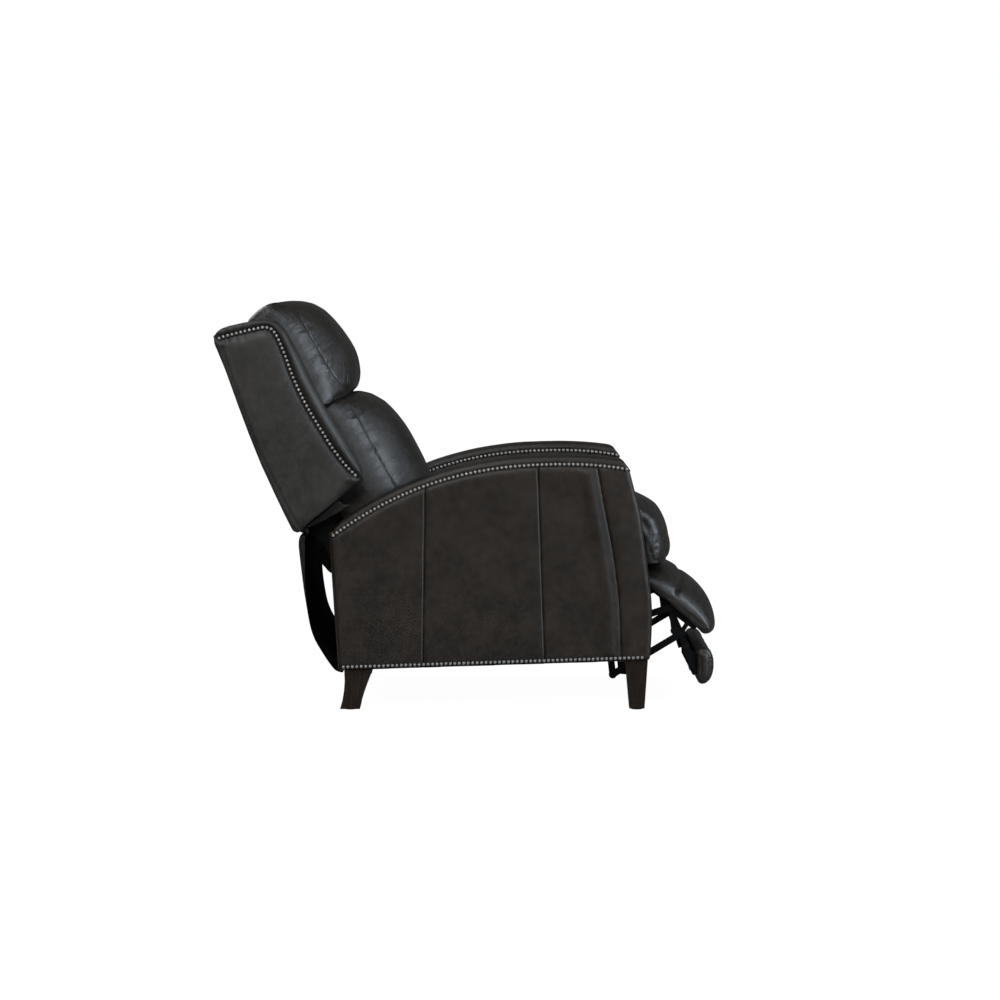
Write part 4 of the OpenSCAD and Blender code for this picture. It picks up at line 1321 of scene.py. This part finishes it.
# %% Seat cushion
SEAT_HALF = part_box("seat_cushion")[1].x / MM
SEAT_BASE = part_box("seat_cushion")[0].z / MM
SEAT_FLOOR = 405
FRONT_RAIL_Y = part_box("seat_frame")[0].y / MM - SHIFT
SEAT_PROFILE = ([(FRONT_RAIL_Y - 0.5, SEAT_FLOOR), (FRONT_RAIL_Y - 0.5, SEAT_BASE + 2)]
                + curve_through([(-518, SEAT_BASE + 3), (-529, 372), (-533, 392), (-533, 409), (-530, 436),
                                 (-523, 462), (-515, 480), (-507, 494), (-496, 502), (-481, 511), (-463, 519),
                                 (-447, 525), (-400, 530), (-300, 525), (-200, 513), (-100, 500), (-44, 489),
                                 (-26, 476), (-16, 456), (-13, 440)], 2)
                + [(204, 421), (204, SEAT_FLOOR)])
SEAT_END = [(-518, SEAT_BASE + 2), (-530, 380), (-528, 420), (-440, 420), (-440, SEAT_BASE + 2)]
RAIL_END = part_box("seat_frame")[1].x / MM + 0.8


def crowned_across(x, full, half, power):
    """How much of a cushion's depth is left at x across it: 1 in the middle, falling towards the ends."""
    away = np.clip((abs(x) - full) / (half - full), 0, 0.999)
    return (1 - away ** power) ** (1 / power)


SEAT_ROUND = (80, 290, 2.6)
SEAT_BACK_Y = -428
SEAT_SEAM = [(-448, 503), (-464, 497), (-477, 484), (-486, 466), (-491, 440), (-492, 415), (-490, 385),
             (-484, 358)]


def seat_seam(side):
    """The upright seam between the front and the end of the seat, as 3-D drawing points."""
    full, half, power = SEAT_ROUND
    front = sorted((z, y) for y, z in SEAT_PROFILE if y < -440)
    line = []
    for y, z in curve_through(SEAT_SEAM, 3):
        middle = float(np.interp(z, [p[0] for p in front], [p[1] for p in front]))
        share = min(max((y - SEAT_BACK_Y) / (middle - SEAT_BACK_Y), 0.05), 1)
        line.append((side * (full + (half - full) * (1 - share ** power) ** (1 / power)), y, z))
    return line


def welted(piece, height):
    """A round welt along the lower front edge, raised out of the net."""
    co = read_points(piece)
    front = co[:, 1] < -452
    co[:, 1] -= front * 2.6 * bell(co[:, 2] - height, 2.6)
    co[:, 1] += front * 2.2 * bell(co[:, 2] - height - 7, 3.0)
    write_points(piece, co)


def joined(pieces):
    deselect()
    for part in pieces:
        part.select_set(True)
    bpy.context.view_layer.objects.active = pieces[0]
    bpy.ops.object.join()
    return bpy.context.object


def seat_cover(name):
    half = SEAT_HALF - 3
    piece = joined([slab(name, SEAT_PROFILE, -half, half), slab("left_end", SEAT_END, RAIL_END, half),
                    slab("right_end", SEAT_END, -half, -RAIL_END)])
    padded_net(piece, 7.2, 3)
    silhouette = SEAT_END[:1] + [p for p in SEAT_PROFILE if p[1] > SEAT_BASE + 2.5] + [(204, SEAT_BASE + 2)]
    roll_edges(piece, silhouette, lambda co: 5 + 9 * ramp(co[:, 2], 362, 407), half, -half)
    relaxed(piece, 4)
    co = read_points(piece)
    inflate(piece, ramp(co[:, 2], 440, 425) * (co[:, 1] > -480) + ramp(co[:, 2], 375, 365), 3.0)
    finer(piece)
    co = read_points(piece)
    bulge = crowned_across(co[:, 0], *SEAT_ROUND)
    co[:, 1] = np.where(co[:, 1] < SEAT_BACK_Y, SEAT_BACK_Y + (co[:, 1] - SEAT_BACK_Y) * bulge, co[:, 1])
    top = ramp(co[:, 2], 430, 500)
    co[:, 2] += top * (2.0 * ripple(co * [1, 1, 0], 170, 41.0) - 21 * (abs(co[:, 0]) / half) ** 2.6)
    write_points(piece, co)
    creased(piece, [seat_seam(1), seat_seam(-1)], 2.6, 4.5, 0.6, 24, 87.0)
    welted(piece, SEAT_BASE + 6)
    return dress(piece, "seat", "leather", LEATHER_CUSHION, "seat_cushion", fill=0.75)


seat = seat_cover("seat_cover")
print("seat:", len(seat.data.polygons), "faces")

# %% [markdown]
# ## Footrest
# The footrest pad is two soft rolls side by side across the board, with a sewn channel between them. Its
# ends are closed by flat-ish leather panels, so each end shows the profile.

# %% Footrest pad
FOOT_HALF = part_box("footrest_pad")[1].x / MM + 2
BOARD_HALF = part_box("footrest_board")[1].x / MM
FOOT_PROFILE = [(29, 15)] + curve_through(
    [(35, 27), (46, 38), (62, 51), (80, 62), (100, 67), (116, 66), (127, 62), (138, 65), (160, 68), (188, 65),
     (217, 55), (241, 43), (257, 30), (267, 16), (270, 2), (267, -11), (259, -18)], 2)
FOOT_BELLY = [(250, -19), (240, -19), (237.5, -14), (237.5, 1), (29, 1)]
FOOT_UNDER = [(52, 2), (62, -5), (80, -9), (128, -10), (180, -14), (216, -18)]
FOOT_SKIRT = [(44, 14)] + FOOT_UNDER + [(242, -19), (242, 14)]
FOOT_END = FOOT_PROFILE + [(250, -19)] + FOOT_UNDER[::-1] + [(40, 14)]
FOOT_ROUND = (30, 268, 2.3)
CHANNEL = 126


def footrest_cover(name):
    half, inside = FOOT_HALF, BOARD_HALF + 9.6
    outline = [foot_at(s, h) for s, h in FOOT_PROFILE + FOOT_BELLY]
    skirt = [foot_at(s, h) for s, h in FOOT_SKIRT]
    piece = joined([slab(name, outline, -half, half), slab("left_skirt", skirt, inside, half),
                    slab("right_skirt", skirt, -half, -inside)])
    padded_net(piece, 6.0, 3)
    roll_edges(piece, [foot_at(s, h) for s, h in FOOT_END], 9, half, -half)
    relaxed(piece, 2)
    s, h = to_foot(read_points(piece))
    inflate(piece, ramp(h, 20, 12) + 0.8 * bell(s - CHANNEL, 8), 3.0)
    finer(piece)
    co = read_points(piece)
    s, h = to_foot(co)
    left = crowned_across(co[:, 0], *FOOT_ROUND)
    new_h = np.where(h > -4, -4 + (h + 4) * left, h)
    tip = np.clip(crowned_across(co[:, 0], 120, 280, 2.0), 0, 1)
    new_s = np.where(s > 215, 215 + (s - 215) * (0.35 + 0.65 * tip), s)
    sink = -7.5 * bell(s - CHANNEL, 5) + 1.6 * bell(s - CHANNEL, 26)
    pleats = 0.7 * np.sin(co[:, 0] * 0.09 + 3 * ripple(co, 90, 52.0)) * bell(s - CHANNEL, 22)
    new_h += ramp(new_h, 14, 28) * (sink + (1.4 * ripple(co * [1, 1, 0], 120, 51.0) + pleats))
    cos, sin = math.cos(FOOT_SLOPE), math.sin(FOOT_SLOPE)
    co[:, 1] += -(new_s - s) * cos - (new_h - h) * sin
    co[:, 2] += -(new_s - s) * sin + (new_h - h) * cos
    write_points(piece, co)
    return dress(piece, "footrest", "leather", LEATHER_CUSHION, "footrest_pad", fill=0.75)


footrest = footrest_cover("footrest_cover")
print("footrest:", len(footrest.data.polygons), "faces")

# %% [markdown]
# ## Lower pad
# A small pad hinges below the footrest. It is stuffed tight, so its section is an oval.

# %% Lower pad
FLIP_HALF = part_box("flipper_pad")[1].x / MM
FLIP_PROFILE = curve_through([(-593.2, 129), (-600, 139), (-611, 142), (-624, 140), (-633, 133), (-639, 118),
                              (-640, 98), (-638, 77), (-632, 60), (-622, 50), (-611, 46), (-600, 51),
                              (-594.0, 70)], 2) + [(-594, 100)]


def lower_pad(name):
    half = FLIP_HALF - 2
    piece = padded_net(slab(name, FLIP_PROFILE, -half, half), 4.6, 3)
    roll_edges(piece, FLIP_PROFILE, 13, half, -half)
    relaxed(piece, 3)
    inflate(piece, ramp(read_points(piece)[:, 1], -603, -597), 2.5)
    finer(piece)
    co = read_points(piece)
    front = ramp(co[:, 1], -604, -624)
    co[:, 1] -= front * (1.6 * ripple(co * [1, 0, 1], 60, 61.0) - 0.5)
    rim, _ = nearest_on(co[:, 1:], FLIP_PROFILE)
    end = ramp(abs(co[:, 0]), half - 26, half)
    co[:, 0] += np.sign(co[:, 0]) * end * (1.5 - 11 * fade(rim, 14) - 1.6 * bell(rim - 13, 2.6))
    write_points(piece, co)
    return dress(piece, "flipper", "leather", LEATHER_CUSHION, "flipper_pad", fill=0.85)


flipper = lower_pad("lower_pad_cover")
print("lower pad:", len(flipper.data.polygons), "faces")

# %% [markdown]
# ## Rear curtain
# A leather curtain hangs from the back's lower edge to the base's rear rail and hides the mechanism. It is
# one sheet: a grid bent along its path and given a thickness.

# %% Rear curtain
CURTAIN_HALF = 349
CURTAIN_LINE = curve_through(
    [(405, 438), (414.5, 431), (418, 414), (417.5, 396), (414, 362), (410, 327), (403, 277), (391, 226),
     (376, 180), (356, 145), (336, 115), (321, 98), (303, 93)], 3)
ACROSS = 60


def curtain(name):
    deselect()
    bpy.ops.mesh.primitive_grid_add(x_subdivisions=ACROSS, y_subdivisions=len(CURTAIN_LINE) - 1)
    piece = named(name)
    row, column = np.divmod(np.arange(len(piece.data.vertices)), ACROSS + 1)
    path = np.array(CURTAIN_LINE)[row]
    co = np.stack([-CURTAIN_HALF + 2 * CURTAIN_HALF * column / ACROSS, path[:, 0], path[:, 1]], axis=1)
    share = row / (len(CURTAIN_LINE) - 1)
    slack = np.sin(share * math.pi) * 2.4 * ripple(co * [1, 0, 0.25], 130, 71.0)
    co[:, 1] -= np.abs(slack) * 0.8 + 1.0 * np.sin(share * math.pi)
    lean = np.interp(share, [0, 0.06, 0.2, 0.34, 0.5, 0.62], [8, 16, 21, 15, 7, 0])
    co[:, 1] -= lean * ramp(abs(co[:, 0]), CURTAIN_HALF - 70, CURTAIN_HALF) ** 1.6
    write_points(piece, co)
    thick = piece.modifiers.new("thickness", "SOLIDIFY")
    thick.thickness = 3.0 * MM
    thick.offset = 0
    apply_modifiers(piece)
    outward(piece)
    finer(piece)
    activate(piece)
    bpy.ops.object.shade_smooth()
    facing = read_normals(piece)[:, 1]
    mark(piece, "lining", np.clip(0.5 - 4 * facing, 0, 1))
    dress(piece, None, "leather", LINED_LEATHER, "rear_flap")
    spot(0, 402, 300)
    spot(0, 412, 402)
    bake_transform(piece)
    return piece


rear_curtain = curtain("rear_curtain")
print("rear curtain:", len(rear_curtain.data.polygons), "faces")

# %% [markdown]
# ## The other side
# The chair is symmetrical, so the left side's pieces are copied across. Each copy gets its own mesh and
# stands for the nodes of its own side.

# %% Right-hand side
for piece, body, slot, finish, nodes in list(LEFT_HAND):
    twin = mirrored(piece, piece.name.replace("_left", "_right"))
    dress(twin, body, slot, finish, *[node.replace("_left", "_right") for node in nodes])
print("mirrored", len(LEFT_HAND), "pieces")

# %% [markdown]
# ## The construction's own finishes
# The frame's nodes that stay in view keep their shapes and get real finishes: stained legs, raw timber,
# black cloth, zinc bolts, and coated steel for everything else.

# %% Finishes of the frame's nodes
FINISHED = {
    DARK_WOOD: ["leg"], GLIDE: ["floor_glides"], BRIGHT_STEEL: ["leg_bolts"],
    TIMBER: ["arm_frame", "cross_rail", "rear_rail", "corner_blocks"],
    BLACK_CLOTH: ["seat_frame", "back_frame", "footrest_board", "flipper_board", "seat_webbing",
                  "back_webbing"]}
NODE_FINISHES = {key: finish for finish, keys in FINISHED.items() for key in keys}
for name in frame["nodes"]:
    node = bpy.data.objects[name]
    longest = max((key for key in NODE_FINISHES if name.startswith(key)), key=len, default=None)
    finish = NODE_FINISHES.get(longest, STEEL)
    node.data.materials.clear()
    node.data.materials.append(finish)
for pattern in (NAIL, STITCH):
    bpy.data.objects.remove(pattern)
print("frame nodes finished:", len(frame["nodes"]))

# %% [markdown]
# ## Camera, floor and light
# The camera stands far off to the chair's side with a long lens, a little above the seat. The floor is a
# plain white sheet: near the chair it keeps a faint shadow, further out it shines as white as the room.
# The room is white where it is looked at and dim where the chair mirrors it, and it lights the chair
# softly from all round. Four lamps do the rest, from the front, the side, the top and the rear.

# %% Camera
CAMERA_PLACE = (-7811, -92.5, 1057)
CAMERA_DIP = 4.05
bpy.ops.object.camera_add(location=spot(*CAMERA_PLACE),
                          rotation=(math.radians(90 - CAMERA_DIP), 0, math.radians(-90)))
camera = bpy.context.object
camera.data.lens = 107.28
camera.data.sensor_width = 36
camera.data.clip_end = 60
bpy.context.scene.camera = camera
print("camera", round(camera.location.length, 2), "m away")

# %% Floor and room
WHITE = 1.05
MIRRORED = 0.08
ROOM_LIGHT = 0.32
deselect()
bpy.ops.mesh.primitive_plane_add(size=60, location=(0, 0, 0))
floor = named("floor")
paper = Finish("paper")
paper.set(Base_Color=(0.92, 0.92, 0.92), Roughness=0.9, Specular_IOR_Level=0.1)
ray = paper.node("ShaderNodeLightPath", {})
shine = WHITE - ray["Is Glossy Ray"] * (WHITE - MIRRORED)
glow = paper.node("ShaderNodeEmission", {}, Strength=shine)["Emission"]
away = paper.node("ShaderNodeVectorMath", {"operation": "LENGTH"}, paper.place)["Value"]
spread = paper.node("ShaderNodeMapRange", {"interpolation_type": "SMOOTHSTEP"}, Value=away,
                    From_Min=0.7, From_Max=1.7, To_Min=0.93, To_Max=1.0)["Result"]
seen = ray["Is Camera Ray"].larger(ray["Is Glossy Ray"], ray["Is Transmission Ray"])
matt = Value(paper, paper.surface.outputs["BSDF"])
mix = paper.node("ShaderNodeMixShader", {}, seen * spread, matt, glow)["Shader"]
paper.feed(paper.nodes["Material Output"].inputs["Surface"], mix)
floor.data.materials.append(paper.owner)

room = Finish("room", bpy.data.worlds, "Background")
ray = room.node("ShaderNodeLightPath", {})
looked_at = ray["Is Camera Ray"].larger(ray["Is Transmission Ray"])
falls = 1 - looked_at.larger(ray["Is Glossy Ray"])
room.set(Color=(1, 1, 1), Strength=looked_at.larger(ray["Is Glossy Ray"] * MIRRORED) + falls * ROOM_LIGHT)
bpy.context.scene.world = room.owner
bpy.context.scene.view_settings.view_transform = "Standard"
print("floor and room made")

# %% Lamps
def soft_lamp(name, place, aim, size, watts, tint=(1, 1, 1)):
    bpy.ops.object.light_add(type="AREA", location=place)
    lamp = bpy.context.object
    lamp.name = name
    lamp.data.shape = "RECTANGLE"
    lamp.data.size, lamp.data.size_y = size
    lamp.data.energy = watts
    lamp.data.color = tint
    lamp.rotation_euler = (Vector(aim) - Vector(place)).to_track_quat("-Z", "Y").to_euler()


COOL, WARM = (0.77, 0.885, 1.0), (1.0, 0.95, 0.90)
soft_lamp("front_lamp", (-1.6, -3.4, 2.0), (0, -0.1, 0.5), (1.2, 2.3), 205, COOL)
soft_lamp("side_lamp", (-4.2, 0.9, 2.9), (0, 0, 0.5), (1.4, 1.4), 108, WARM)
soft_lamp("top_lamp", (-2.1, 1.1, 4.0), (0, 0.1, 0.6), (1.1, 1.1), 75, COOL)
soft_lamp("rear_lamp", (1.8, 2.6, 2.8), (0, 0, 0.6), (1.6, 1.6), 60)
print("lamps placed")
